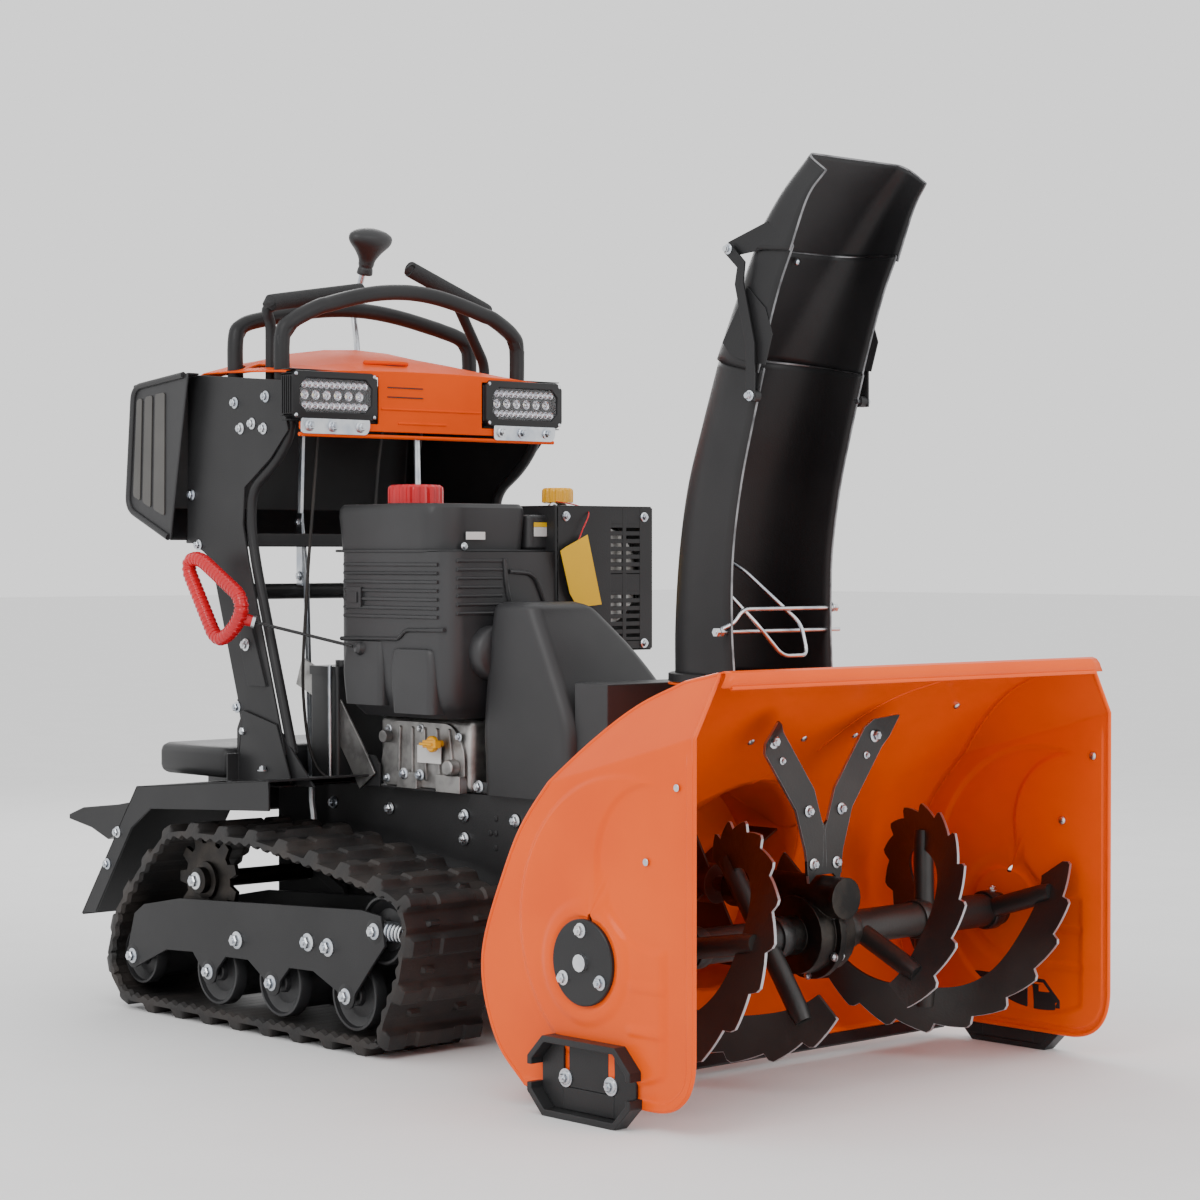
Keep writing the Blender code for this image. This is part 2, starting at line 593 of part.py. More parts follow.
cut(shroud, box("muffler_side", (0.012, 0.70, 0.590), (0.15, 0.866, 0.80)))
dip = rod("dipstick", 0.0060, "x", (0, 0.855, 0.456), -0.160, -0.1343, 8, YELLOW, (-0.1343, 0.855, 0.456))
weld(dip, box("dip_wing", (-0.166, 0.839, 0.450), (-0.154, 0.871, 0.462)))
recoil = turned("recoil_housing", [(0, 0), (0.095, 0), (0.108, -0.016), (0.108, -0.048), (0, -0.048)],
                "y", (-0.020, 1.0400, 0.640), 24)
weld(shroud, recoil)

# Tracks: belt, sprocket, idler and rollers between two beam plates
TRACK_LINE = [
    (0.751, 0.0), (1.396, 0.0), (1.436, 0.014), (1.464, 0.043), (1.477, 0.089), (1.450, 0.169),
    (1.385, 0.240), (1.312, 0.303), (1.285, 0.315), (1.252, 0.320), (1.061, 0.320), (0.983, 0.310),
    (0.820, 0.285), (0.712, 0.264), (0.676, 0.247), (0.659, 0.202), (0.678, 0.119), (0.715, 0.052),
    (0.728, 0.012),
]
SEAT = 0.027
ROLLERS = {
    "rear_idler": (1.396, 0.089, 0.048), "roller_rear": (1.181, 0.085, 0.055),
    "roller_middle": (1.013, 0.085, 0.055), "roller_front": (0.826, 0.085, 0.055),
    "front_idler": (0.757, 0.190, 0.052),
}
BEAM_TOP = [(0.742, 0.214), (0.79, 0.219), (1.264, 0.195), (1.364, 0.177), (1.392, 0.160)]


def beam_outline():
    """Beam side: straight on top, lobes down to the wheel bolts below."""
    line = [(1.413, 0.095), (1.405, 0.076), (1.386, 0.072), (1.300, 0.108), (1.226, 0.112)]
    for y in (1.181, 1.013, 0.826):
        line += [(y + 0.022, 0.090), (y + 0.013, 0.068), (y - 0.013, 0.069), (y - 0.022, 0.091)]
        if y > 0.9:
            line += [(y - 0.045, 0.1130), (y - 0.105, 0.1145)]
    line += [(0.770, 0.130), (0.733, 0.170)]
    return BEAM_TOP + line


fenders = []
fender_room = []
for s, tag in ((-1, "r"), (1, "l")):
    x_out = s * TRACK_OUT
    x_in = s * (TRACK_OUT - TRACK_W)
    belt = plate("track_" + tag, [TRACK_LINE, inset(TRACK_LINE, SEAT)], "x", x_out, x_in, RUBBER)
    lane_out = s * (TRACK_OUT - 0.026)
    lane_in = s * (TRACK_OUT - 0.046)
    lane = plate("lane_" + tag, [inset(TRACK_LINE, 0.009)], "x", lane_out, lane_in)
    cut(belt, lane)
    teeth = []
    for k in range(11):
        a = 2 * math.pi * k / 11
        for r, da in ((0.060, -0.20), (0.078, -0.11), (0.078, 0.11), (0.060, 0.20)):
            teeth.append((SPROCKET[0] + r * math.cos(a + da), SPROCKET[1] + r * math.sin(a + da)))
    sprocket = plate("sprocket_" + tag, [teeth], "x", s * (TRACK_OUT - 0.032), s * (TRACK_OUT - 0.040),
                     IRON, (s * 0.2, *SPROCKET))
    axle = rod("axle_" + tag, 0.0140, "x", (0, *SPROCKET),
               min(s * 0.1005, s * (TRACK_OUT - 0.018)), max(s * 0.1005, s * (TRACK_OUT - 0.018)), 12)
    weld(sprocket, axle)
    outer = plate("track_beam_" + tag, [beam_outline()], "x",
                  s * (TRACK_OUT - 0.006), s * (TRACK_OUT - 0.011), BLACK)
    inner = plate("beam_inner_" + tag, [beam_outline()], "x",
                  s * (TRACK_OUT - TRACK_W + 0.012), s * (TRACK_OUT - TRACK_W + 0.007))
    weld(outer, inner)
    weld(outer, box("beam_slot_bar_" + tag,
                    (min(s * (TRACK_OUT - 0.008), x_in + s * 0.009), 0.900, 0.140),
                    (max(s * (TRACK_OUT - 0.008), x_in + s * 0.009), 1.110, 0.180)))
    for name, (y, z, r) in ROLLERS.items():
        pin = rod(f"pin_{name}_{tag}", 0.0080, "x", (0, y, z),
                  s * (TRACK_OUT - 0.008), x_in + s * 0.009, 8)
        weld(outer, pin)
        w0, w1 = s * (TRACK_OUT - 0.060), x_in + s * 0.016
        if abs(w0) < abs(w1):
            w0, w1 = w1, w0
        mid = (w0 + w1) / 2
        half = abs(w0 - w1) / 2
        rows = [(r, half), (r, half - 0.020), (0.024, half - 0.026), (0.024, 0.026 - half),
                (r, 0.020 - half), (r, -half), (0.0090, -half), (0.0090, half)]
        turned(f"{name}_{tag}", rows, "x", (mid, y, z), 16, PLASTIC)
    line = [(1.020, 0.400), (1.384, 0.370), (1.549, 0.145)]
    fender = plate("fender_" + tag, [strip(line, -0.0035)], "x", s * 0.352, s * (RAIL + 0.012))
    skirt = [(1.020, 0.399), (1.384, 0.369), (1.548, 0.146), (1.507, 0.152), (1.400, 0.300),
             (1.345, 0.335), (1.020, 0.352)]
    fender_room.append(plate("fender_room_" + tag, [[
        (1.15, 0.30), (1.50, 0.30), (1.384, 0.3710), (1.15, 0.3897),
    ]], "x", s * 0.36, s * (RAIL + 0.010)))
    fenders += [fender, plate("skirt_" + tag, [skirt], "x", s * 0.3525, s * 0.3485)]

# Rear of the chassis: handle base, boxes, pedal, struts
base_bar = plate("rear_frame", [strip([(1.060, 0.3833), (1.205, 0.3833), (1.205, 0.4300)], 0.0035)],
                 "x", -0.300, 0.300, BLACK)
weld(base_bar, *fenders)
for s in (-1, 1):
    near, far = sorted((s * 0.108, s * 0.160))
    cut(base_bar, box(f"base_notch_{s}", (near, 1.140, 0.35), (far, 1.25, 0.45)))
rear_box = box("rear_box", (-0.300, 1.2083, 0.3890), (0.300, 1.400, 0.4400), BLACK, 0.014)
cut(rear_box, *fender_room)
weld(rear_box, box("rear_weight", (-0.130, 1.3300, 0.3200), (0.130, 1.5000, 0.4050), None, 0.004))
plate("foot_pedal", [[
    (1.5035, 0.320), (1.530, 0.300), (1.648, 0.255), (1.700, 0.272), (1.771, 0.283), (1.771, 0.291),
    (1.726, 0.306), (1.616, 0.318), (1.515, 0.335), (1.5035, 0.334),
]], "x", -0.235, -0.165, BLACK, (-0.200, 1.510, 0.327))

# Handle: uprights with the dash sides, cross tube, dash, console
UPRIGHT = [
    (1.082, 0.4325), (1.182, 0.4325), (1.283, 0.743), (1.305, 0.756), (1.350, 0.776), (1.348, 1.049),
    (1.091, 1.029), (1.073, 0.949), (1.120, 0.905), (1.190, 0.860), (1.195, 0.800), (1.180, 0.740),
]
uprights = []
for s, tag in ((-1, "r"), (1, "l")):
    uprights.append(plate("upright_" + tag, [UPRIGHT], "x", s * UPRIGHT_X, s * (UPRIGHT_X + 0.004)))
    strut = [(1.218, 0.517), (1.156, 0.506), (1.096, 0.465), (1.013, 0.3850), (1.101, 0.3850),
             (1.135, 0.430), (1.204, 0.468)]
    weld(base_bar, plate("strut_" + tag, [strut[::-1]], "x", s * (UPRIGHT_X - GAP), s * (UPRIGHT_X - 0.005)))
    foot = [(1.060, 0.3850), (1.2060, 0.3850), (1.206, 0.4700), (1.190, 0.500), (1.100, 0.480)]
    weld(base_bar, plate("foot_plate_" + tag, [foot], "x",
                         s * (UPRIGHT_X + 0.0043), s * (UPRIGHT_X + 0.0083)))
handle_frame = rod("handle_frame", 0.0130, "x", (0, 1.225, 0.691),
                   -UPRIGHT_X - 0.002, UPRIGHT_X + 0.002, 14, BLACK)
weld(handle_frame, *uprights)

bm = bmesh.new()
rows = []
CROWN = [(1.050, 0.950, 0.0), (1.050, 1.040, 0.008), (1.110, 1.044, 0.022), (1.169, 1.046, 0.034),
         (1.248, 1.048, 0.048), (1.310, 1.048, 0.040), (1.345, 1.038, 0.030)]
COLUMNS = 8
for y, z, up in CROWN:
    row = []
    for i in range(COLUMNS + 1):
        t = 2 * i / COLUMNS - 1
        row.append(bm.verts.new((t * (UPRIGHT_X - 0.0012), y, z + up * (1 - t * t))))
    rows.append(row)
for a, b in zip(rows, rows[1:]):
    for k in range(COLUMNS):
        bm.faces.new((a[k], a[k + 1], b[k + 1], b[k]))
bmesh.ops.triangulate(bm, faces=bm.faces)
bmesh.ops.recalc_face_normals(bm, faces=bm.faces)
mesh = bpy.data.meshes.new("dash_cover")
bm.to_mesh(mesh)
bm.free()
dash = bpy.data.objects.new("dash_cover", mesh)
mesh.materials.append(ORANGE)
parts.objects.link(dash)
solid = dash.modifiers.new("thickness", "SOLIDIFY")
solid.thickness = SHEET
solid.offset = 0.0
solid.use_even_offset = True
for s in (-1, 1):
    for name, y in (("front_loop_hole", 1.120), ("rear_loop_hole", 1.247)):
        cut(dash, rod(f"{name}_{s}", 0.0155, "z", (s * 0.2483, y, 0), 1.013, 1.1, 11))
    cut(dash, box(f"lever_slot_{s}", (s * 0.228 - 0.011, 1.160, 1.0), (s * 0.228 + 0.011, 1.226, 1.1)))
    low, high = sorted((s * 0.110, s * 0.292))
    cut(dash, box(f"lamp_window_{s}", (low, 1.030, 0.962), (high, 1.0565, 1.0385)))
cut(dash, box("shift_slot", (0.027, 1.262, 1.0), (0.045, 1.336, 1.2)))

console = plate("rear_console", [[
    (1.362, 0.774), (1.489, 0.826), (1.470, 1.036), (1.310, 1.050),
]], "x", -0.300, 0.300, PLASTIC)
cut(console, plate("console_room", [[
    (1.200, 0.715), (1.362, 0.779), (1.4845, 0.829), (1.4660, 1.0325), (1.200, 1.0555),
]], "x", -0.296, 0.296))
cut(console, box("console_top_notch", (-0.2760, 1.28, 1.02), (0.2760, 1.3520, 1.10)))

for s, tag in ((-1, "r"), (1, "l")):
    box("lamp_" + tag, (min(s * 0.115, s * 0.287), 1.044, 0.969), (max(s * 0.115, s * 0.287), 1.072, 1.0370),
        LENS, 0.004)
    grip = [(s * 0.228, 1.180, 1.000), (s * 0.228, 1.180, 1.130), (s * 0.215, 1.180, 1.148)]
    end = (s * 0.047, 1.180, 1.196) if s < 0 else (s * 0.060, 1.180, 1.222)
    tube("clutch_lever_" + tag, grip + [end], 0.0090, BLACK, (s * 0.228, 1.180, 1.000))


def arch(x, y, low, bend, shoulder, top, bow, n=4):
    """Half of a guard bar from one leg up to the middle."""
    half = [
        (x, y, low), (x + 0.004, y, bend), (x - 0.014, y - bow / 2, bend + 0.028),
        (x - 0.060, y - bow, shoulder),
    ]
    half += [((x - 0.060) * (1 - i / n), y - bow, shoulder + (top - shoulder) * math.sin(math.pi / 2 * i / n))
             for i in range(1, n + 1)]
    return [(-a, b, c) for a, b, c in half] + [p for p in half[:-1]][::-1]


weld(handle_frame, tube("front_loop", arch(0.248, 1.120, 0.985, 1.098, 1.150, 1.185, 0.012), 0.0125))
weld(handle_frame, tube("rear_loop", arch(0.248, 1.247, 0.985, 1.098, 1.140, 1.165, -0.004), 0.0115))
for n, y in enumerate((1.120, 1.247)):
    for s in (-1, 1):
        stub = rod(f"stub_{n}{s}", 0.0100, "x", (0, y, 1.000), s * 0.248, s * 0.2720, 10)
        weld(handle_frame, stub)

SHIFT = (0.036, 1.290, 0.985)
shift = tube("shift_lever", [
    SHIFT, (0.036, 1.290, 1.110), (0.036, 1.302, 1.170), (0.036, 1.272, 1.232),
], 0.0050, ZINC, SHIFT)
knob = turned("shift_knob", [
    (0, 0.062), (0.014, 0.058), (0.022, 0.042), (0.019, 0.022), (0.011, 0.004), (0.0085, 0), (0, 0),
], "z", (0, 0, 0), 16, None, (0, 0, 0))
knob.location = (0.036, 1.274, 1.229)
knob.rotation_euler = (math.radians(24), 0, 0)

# Control rod down to the drive arm, starter handle and rope
ROD_X = -0.143
tube("control_rod", [
    (ROD_X, 1.209, 0.960), (ROD_X, 1.215, 0.815), (ROD_X, 1.199, 0.719), (ROD_X, 1.184, 0.347),
    (ROD_X, 1.165, 0.243),
], 0.0055, ZINC, (ROD_X, 1.184, 0.600))
plate("drive_arm", [[
    (1.173, 0.227), (1.171, 0.236), (1.161, 0.238), (1.097, 0.210), (1.093, 0.199), (1.101, 0.194),
    (1.110, 0.196),
]], "x", ROD_X - 0.004, ROD_X + 0.004, BLACK, (ROD_X, 1.101, 0.202))
H0 = Vector((-0.300, 1.128, 0.6440))
pull = Vector((-0.2025, 0.975, 0.603))
way = (H0 - pull).normalized()
tube("starter_rope", [tuple(pull), tuple(H0 - way * 0.001)], 0.0025, RUBBER, tuple(pull), 1)
grip_loop = [
    (1.150, 0.612), (1.182, 0.602), (1.212, 0.612), (1.285, 0.722), (1.288, 0.745), (1.268, 0.757),
    (1.235, 0.750), (1.125, 0.690), (1.112, 0.660), (1.124, 0.628),
]
finger = [
    (1.200, 0.628), (1.266, 0.726), (1.262, 0.738), (1.238, 0.733), (1.150, 0.684), (1.145, 0.672),
    (1.186, 0.634),
]
handle = plate("pull_handle", [grip_loop, finger], "x", -0.3320, -0.3120, RED, (-0.322, 1.128, 0.6440))
weld(handle, tube("handle_root", [tuple(H0), (-0.3190, 1.150, 0.650)], 0.0080))
weld(handle_frame, plate("rope_holder", [[
    (1.128, 0.540), (1.176, 0.540), (1.196, 0.600), (1.196, 0.640), (1.168, 0.640),
]], "x", -UPRIGHT_X - 0.0030, -UPRIGHT_X - 0.0083))
weld(shift, knob)

for ob in list(parts.objects) + list(cutters.objects):
    ob.location.y -= CENTRE_Y
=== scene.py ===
"""Two stage snowblower on rubber tracks: the looks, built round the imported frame."""
import json
import math

import bmesh
import bpy
import numpy as np
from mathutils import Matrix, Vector


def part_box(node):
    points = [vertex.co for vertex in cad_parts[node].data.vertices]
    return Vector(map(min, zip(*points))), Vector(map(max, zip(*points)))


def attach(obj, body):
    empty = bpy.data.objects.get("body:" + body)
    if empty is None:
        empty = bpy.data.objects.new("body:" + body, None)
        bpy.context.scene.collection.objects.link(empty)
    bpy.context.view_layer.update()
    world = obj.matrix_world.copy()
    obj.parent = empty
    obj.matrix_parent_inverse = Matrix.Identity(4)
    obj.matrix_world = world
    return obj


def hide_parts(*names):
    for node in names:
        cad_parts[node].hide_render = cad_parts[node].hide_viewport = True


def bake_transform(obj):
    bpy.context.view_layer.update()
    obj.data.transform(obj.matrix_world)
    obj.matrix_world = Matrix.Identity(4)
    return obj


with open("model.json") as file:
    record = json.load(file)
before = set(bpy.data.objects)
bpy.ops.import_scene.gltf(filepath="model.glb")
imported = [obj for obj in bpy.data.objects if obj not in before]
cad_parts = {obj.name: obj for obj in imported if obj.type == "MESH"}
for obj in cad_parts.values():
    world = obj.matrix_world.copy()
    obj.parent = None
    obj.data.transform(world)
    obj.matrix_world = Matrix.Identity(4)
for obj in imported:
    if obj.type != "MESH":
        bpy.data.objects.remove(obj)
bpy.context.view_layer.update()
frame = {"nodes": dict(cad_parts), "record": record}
record = frame["record"]

# ---------------------------------------------------------------- camera, floor and lights
# A long lens at dash height looks at the operator's right front corner of the
# machine. Large soft panels and a pale floor give an even studio light.
scene = bpy.context.scene
camera = bpy.data.objects.new("camera", bpy.data.cameras.new("camera"))
scene.collection.objects.link(camera)
camera.location = (-3.028, -3.487, 0.7525)
camera.rotation_euler = Vector((0.6816, 0.7315, -0.016)).to_track_quat("-Z", "Y").to_euler()
camera.data.lens = 86.47
camera.data.sensor_width = 36.0
scene.camera = camera

world = bpy.data.worlds.new("studio")
world.use_nodes = True
world.node_tree.nodes["Background"].inputs["Color"].default_value = (1.0, 1.0, 1.0, 1.0)
world.node_tree.nodes["Background"].inputs["Strength"].default_value = 1.3
scene.world = world


def panel(name, place, target, size, watts):
    """A square soft light that faces its target."""
    lamp = bpy.data.objects.new(name, bpy.data.lights.new(name, "AREA"))
    lamp.data.size = size
    lamp.data.energy = watts
    lamp.location = place
    lamp.rotation_euler = (Vector(target) - Vector(place)).to_track_quat("-Z", "Y").to_euler()
    scene.collection.objects.link(lamp)


panel("key", (-3.2, -1.2, 2.8), (0.0, -0.1, 0.5), 1.6, 40.0)
panel("front", (0.6, -4.0, 1.8), (0.1, -0.6, 0.4), 2.0, 32.0)
panel("rear", (1.8, 3.0, 2.6), (0.0, 0.3, 0.6), 1.8, 40.0)

FLOOR_HALF = 40.0
floor_mesh = bpy.data.meshes.new("studio_floor")
floor_corners = [(-FLOOR_HALF, -FLOOR_HALF, 0), (FLOOR_HALF, -FLOOR_HALF, 0),
                 (FLOOR_HALF, FLOOR_HALF, 0), (-FLOOR_HALF, FLOOR_HALF, 0)]
floor_mesh.from_pydata(floor_corners, [], [(0, 1, 2, 3)])
studio_floor = bpy.data.objects.new("studio_floor", floor_mesh)
scene.collection.objects.link(studio_floor)


class Value:
    """A number that varies over a surface: + - * / and the methods add the shader's maths."""

    def __init__(self, finish, link):
        self.finish, self.link = finish, link

    def math(self, operation, *others, swap=False):
        values = [self, *others][::-1] if swap else [self, *others]
        return self.finish.node("ShaderNodeMath", {"operation": operation}, values)

    def __add__(self, other):
        return self.math("ADD", other)

    __radd__ = __add__

    def __sub__(self, other):
        return self.math("SUBTRACT", other)

    def __rsub__(self, other):
        return self.math("SUBTRACT", other, swap=True)

    def __mul__(self, other):
        return self.math("MULTIPLY", other)

    __rmul__ = __mul__

    def __truediv__(self, other):
        return self.math("DIVIDE", other)

    def wave(self):
        return self.math("SINE")

    def size(self):
        return self.math("ABSOLUTE")

    def step(self, low, high):
        """0 below low, 1 above high and smooth between them."""
        return self.finish.node("ShaderNodeMapRange", {"interpolation_type": "SMOOTHSTEP"},
                                [self, low, high, 0.0, 1.0])


class Finish:
    """A procedural finish: constant numbers sit on the shader's own sockets."""

    def __init__(self, name, **fixed):
        self.material = bpy.data.materials.new(name)
        self.material.use_nodes = True
        self.tree = self.material.node_tree
        self.shader = self.tree.nodes["Principled BSDF"]
        for key, value in fixed.items():
            self.shader.inputs[key.replace("_", " ")].default_value = value
        self.place = self.node("ShaderNodeTexCoord", {}, [], out="Object")

    def node(self, kind, settings, inputs, out=0):
        """Adds one node; inputs are values or links by position or by name."""
        made = self.tree.nodes.new(kind)
        for key, value in settings.items():
            setattr(made, key, value)
        pairs = inputs.items() if isinstance(inputs, dict) else enumerate(inputs)
        for key, value in pairs:
            if isinstance(value, Value):
                self.tree.links.new(value.link, made.inputs[key])
            elif value is not None:
                made.inputs[key].default_value = value
        return Value(self, made.outputs[out])

    def noise(self, scale, detail=3.0):
        return self.node("ShaderNodeTexNoise", {}, {"Vector": self.place, "Scale": scale, "Detail": detail})

    def axis(self, letter):
        return self.node("ShaderNodeSeparateXYZ", {}, [self.place], out=letter)

    def mix(self, share, first, second):
        """Colour that goes from first to second as share goes from 0 to 1."""
        return self.node("ShaderNodeMix", {"data_type": "RGBA"}, {0: share, 6: first, 7: second}, out=2)

    def give(self, socket, value):
        self.tree.links.new(value.link, self.shader.inputs[socket])

    def bump(self, height, distance):
        self.give("Normal", self.node("ShaderNodeBump", {},
                                      {"Strength": 1.0, "Distance": distance, "Height": height}))


def colour(red, green, blue):
    return (red, green, blue, 1.0)


def painted(name, base, shade, rough, peel, coat=0.0, gloss=0.28):
    """Paint with soft cloudy variation, fine orange peel and thin dust in its gloss."""
    finish = Finish(name, Coat_Weight=coat, Coat_Roughness=0.12, Specular_IOR_Level=gloss)
    cloud = finish.noise(5.0)
    finish.give("Base Color", finish.mix(cloud.step(0.3, 0.75), base, shade))
    finish.give("Roughness", finish.noise(60.0) * 0.08 + cloud * 0.08 + (rough - 0.08))
    finish.bump(finish.noise(420.0, 2.0), peel)
    return finish.material


orange = painted("orange_gloss_paint", colour(0.90, 0.105, 0.001), colour(0.82, 0.085, 0.001), 0.32, 0.00012,
                 0.05, 0.2)
black = painted("black_satin_paint", colour(0.017, 0.017, 0.018), colour(0.026, 0.026, 0.027), 0.38, 0.00025)


def metal(name, base, shade, rough, grain):
    """Bare or plated metal: cloudy tone, fine grain in the gloss and in the relief."""
    finish = Finish(name, Metallic=1.0)
    cloud = finish.noise(30.0)
    finish.give("Base Color", finish.mix(cloud.step(0.35, 0.7), base, shade))
    finish.give("Roughness", finish.noise(300.0) * 0.15 + (rough - 0.07))
    finish.bump(finish.noise(700.0, 2.0), grain)
    return finish.material


zinc = metal("bright_zinc_plate", colour(0.72, 0.74, 0.76), colour(0.50, 0.54, 0.60), 0.30, 0.00006)
studio_floor.data.materials.append(painted("pale_floor", colour(0.86, 0.86, 0.86), colour(0.84, 0.84, 0.84),
                                           0.8, 0.0))

# ---------------------------------------------------------------- auger housing
# Pressed side plates of 3 mm steel with stiffening swages, welded to a wrapped
# back sheet and a round impeller drum with its chute neck, all in gloss orange.
SIDES = ((-1, "r"), (1, "l"))
HALF = 0.435                              # half the width of the housing
STEEL = 0.003                             # thickness of all the pressed sheet
AXLE_Y, AXLE_Z = 0.200, 0.210             # centre of the auger shaft
DRUM_R = 0.1575
DRUM_Z = 0.265
NECK = np.array([0.040, 0.375])
shaft_low, shaft_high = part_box("auger_shaft")
FRONT = (shaft_low.y + shaft_high.y) / 2 - AXLE_Y  # shapes are laid out from the housing's front edge


def curve(points, steps=8, closed=False):
    """Catmull-Rom curve through the points: cubic in each span, smooth at each point."""
    p = np.array(points, float)
    if closed:
        p = np.vstack([p[-1:], p, p[:2]])
    else:
        p = np.vstack([2 * p[0] - p[1], p, 2 * p[-1] - p[-2]])
    t = np.linspace(0.0, 1.0, steps, endpoint=False)[:, None, None]
    a, b, c, d = p[:-3], p[1:-2], p[2:-1], p[3:]
    out = 0.5 * (2 * b + (c - a) * t + (2 * a - 5 * b + 4 * c - d) * t**2 + (3 * b - a - 3 * c + d) * t**3)
    out = out.transpose(1, 0, 2).reshape(-1, p.shape[1])
    return out if closed else np.vstack([out, p[-2:-1]])


def bent(points, radius, steps=6, closed=False):
    """Straight runs whose corners are quadratic arcs that start radius before each corner."""
    p = np.array(points, float)
    before, after = np.roll(p, 1, 0), np.roll(p, -1, 0)
    reach = np.minimum(np.linalg.norm(before - p, axis=1), np.linalg.norm(after - p, axis=1)) * 0.49
    reach = np.minimum(reach, radius)[:, None]
    first = p + (before - p) / np.linalg.norm(before - p, axis=1)[:, None] * reach
    last = p + (after - p) / np.linalg.norm(after - p, axis=1)[:, None] * reach
    t = np.linspace(0.0, 1.0, steps)[:, None, None]
    arcs = ((1 - t) ** 2 * first + 2 * t * (1 - t) * p + t**2 * last).transpose(1, 0, 2)
    if closed:
        return arcs.reshape(-1, p.shape[1])
    return np.vstack([p[:1], arcs[1:-1].reshape(-1, p.shape[1]), p[-1:]])


def net(points, wrap_u=False, wrap_v=False, cap=False):
    """A grid of points (u, v) as four sided faces; cap closes both ends of u with one face."""
    nu, nv = points.shape[:2]
    u, v = np.meshgrid(np.arange(nu if wrap_u else nu - 1), np.arange(nv if wrap_v else nv - 1),
                       indexing="ij")
    un, vn = (u + 1) % nu, (v + 1) % nv
    faces = np.stack([u * nv + v, un * nv + v, un * nv + vn, u * nv + vn], -1).reshape(-1, 4).tolist()
    if cap:
        faces += [list(range(nv)), list(range((nu - 1) * nv, nu * nv))]
    return points.reshape(-1, 3), faces


def tube(path, radius, sides=14, up=(1.0, 0.0, 0.0), closed=False):
    """A circle carried along the path: point + radius (cos a across + sin a side)."""
    path = np.array(path, float)
    run = np.roll(path, -1, 0) - np.roll(path, 1, 0) if closed else np.gradient(path, axis=0)
    run /= np.linalg.norm(run, axis=1)[:, None]
    side = np.array(up) - run * (run @ np.array(up))[:, None]
    side /= np.linalg.norm(side, axis=1)[:, None]
    across = np.cross(run, side)
    a = np.linspace(0, 2 * np.pi, sides, endpoint=False)
    r = np.broadcast_to(np.asarray(radius, float), (len(path),))[:, None, None]
    ring = side[:, None] * np.cos(a)[None, :, None] + across[:, None] * np.sin(a)[None, :, None]
    return net(path[:, None] + r * ring, wrap_u=closed, wrap_v=True, cap=not closed)


def frame_of(direction):
    """Two unit vectors square to a direction and to each other."""
    d = np.array(direction, float)
    d /= np.linalg.norm(d)
    u = np.cross(d, (0.0, 0.0, 1.0) if abs(d[2]) < 0.9 else (0.0, 1.0, 0.0))
    u /= np.linalg.norm(u)
    return d, u, np.cross(d, u)


def turned(profile, centre, direction, sides=40):
    """A profile of (radius, height) turned about an axis: centre + h d + r (cos a u + sin a v)."""
    d, u, v = frame_of(direction)
    p = np.array(profile, float)
    a = np.linspace(0, 2 * np.pi, sides, endpoint=False)
    ring = np.cos(a)[:, None] * u + np.sin(a)[:, None] * v
    points = np.array(centre) + p[:, 1][:, None, None] * d + p[:, 0][:, None, None] * ring[None]
    return net(points, wrap_v=True, cap=True)


def block(outline, axis, low, high):
    """A flat outline carried straight along an axis from low to high."""
    order = {"x": (2, 0, 1), "y": (0, 2, 1), "z": (0, 1, 2)}[axis]
    o = np.array(outline, float)
    both = np.stack([np.column_stack([o, np.full(len(o), h)]) for h in (low, high)])
    return net(both[..., order], wrap_v=True, cap=True)


def box(low, high):
    """A rectangular bar between two corners."""
    (x0, y0, z0), (x1, y1, z1) = low, high
    return block([(x0, y0), (x1, y0), (x1, y1), (x0, y1)], "z", z0, z1)


def strip(line, half):
    """A band of even width along a flat line: line + half n out, line - half n back."""
    run = np.gradient(line, axis=0)
    run /= np.linalg.norm(run, axis=1)[:, None]
    across = np.column_stack([-run[:, 1], run[:, 0]]) * half
    return np.vstack([line + across, (line - across)[::-1]])


def walked(points, count):
    """Points at even distances along a closed line, and the share of its length at each."""
    ring = np.vstack([points, points[:1]])
    length = np.r_[0, np.cumsum(np.linalg.norm(np.diff(ring, axis=0), axis=1))]
    at = np.linspace(0, length[-1], count, endpoint=False)
    return np.column_stack([np.interp(at, length, ring[:, k]) for k in (0, 1)]), at / length[-1]


def short_rod(radius, height, centre, direction, sides):
    """A plain turned cylinder from its foot to its height."""
    return turned([(0, 0), (radius, 0), (radius, height), (0, height)], centre, direction, sides)


def piece(name, shapes, body, finish, round_edge=0.0, wall=0.0, sharp=32.0, values=None):
    """Joins shapes into one object that rides on a body. Walls come from Solidify, edges from Bevel."""
    corners = np.concatenate([s[0] for s in shapes]) + (0.0, FRONT, 0.0)
    starts = np.cumsum([0] + [len(s[0]) for s in shapes])
    faces = [[i + start for i in face] for start, s in zip(starts, shapes) for face in s[1]]
    mesh = bpy.data.meshes.new(name)
    mesh.from_pydata(corners.tolist(), [], faces)
    for key, numbers in (values or {}).items():
        mesh.attributes.new(key, "FLOAT", "POINT").data.foreach_set("value", np.asarray(numbers, np.float32))
    made = bmesh.new()
    made.from_mesh(mesh)
    bmesh.ops.remove_doubles(made, verts=made.verts, dist=1e-6)
    bmesh.ops.recalc_face_normals(made, faces=made.faces)
    made.to_mesh(mesh)
    made.free()
    mesh.materials.append(finish)
    mesh.shade_smooth()
    mesh.set_sharp_from_angle(angle=math.radians(sharp))
    ob = bpy.data.objects.new(name, mesh)
    scene.collection.objects.link(ob)
    if wall:
        solid = ob.modifiers.new("wall", "SOLIDIFY")
        solid.thickness = wall
        solid.offset = 0.0
    if round_edge:
        soften(ob, round_edge)
    if body:
        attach(ob, body)
    return ob


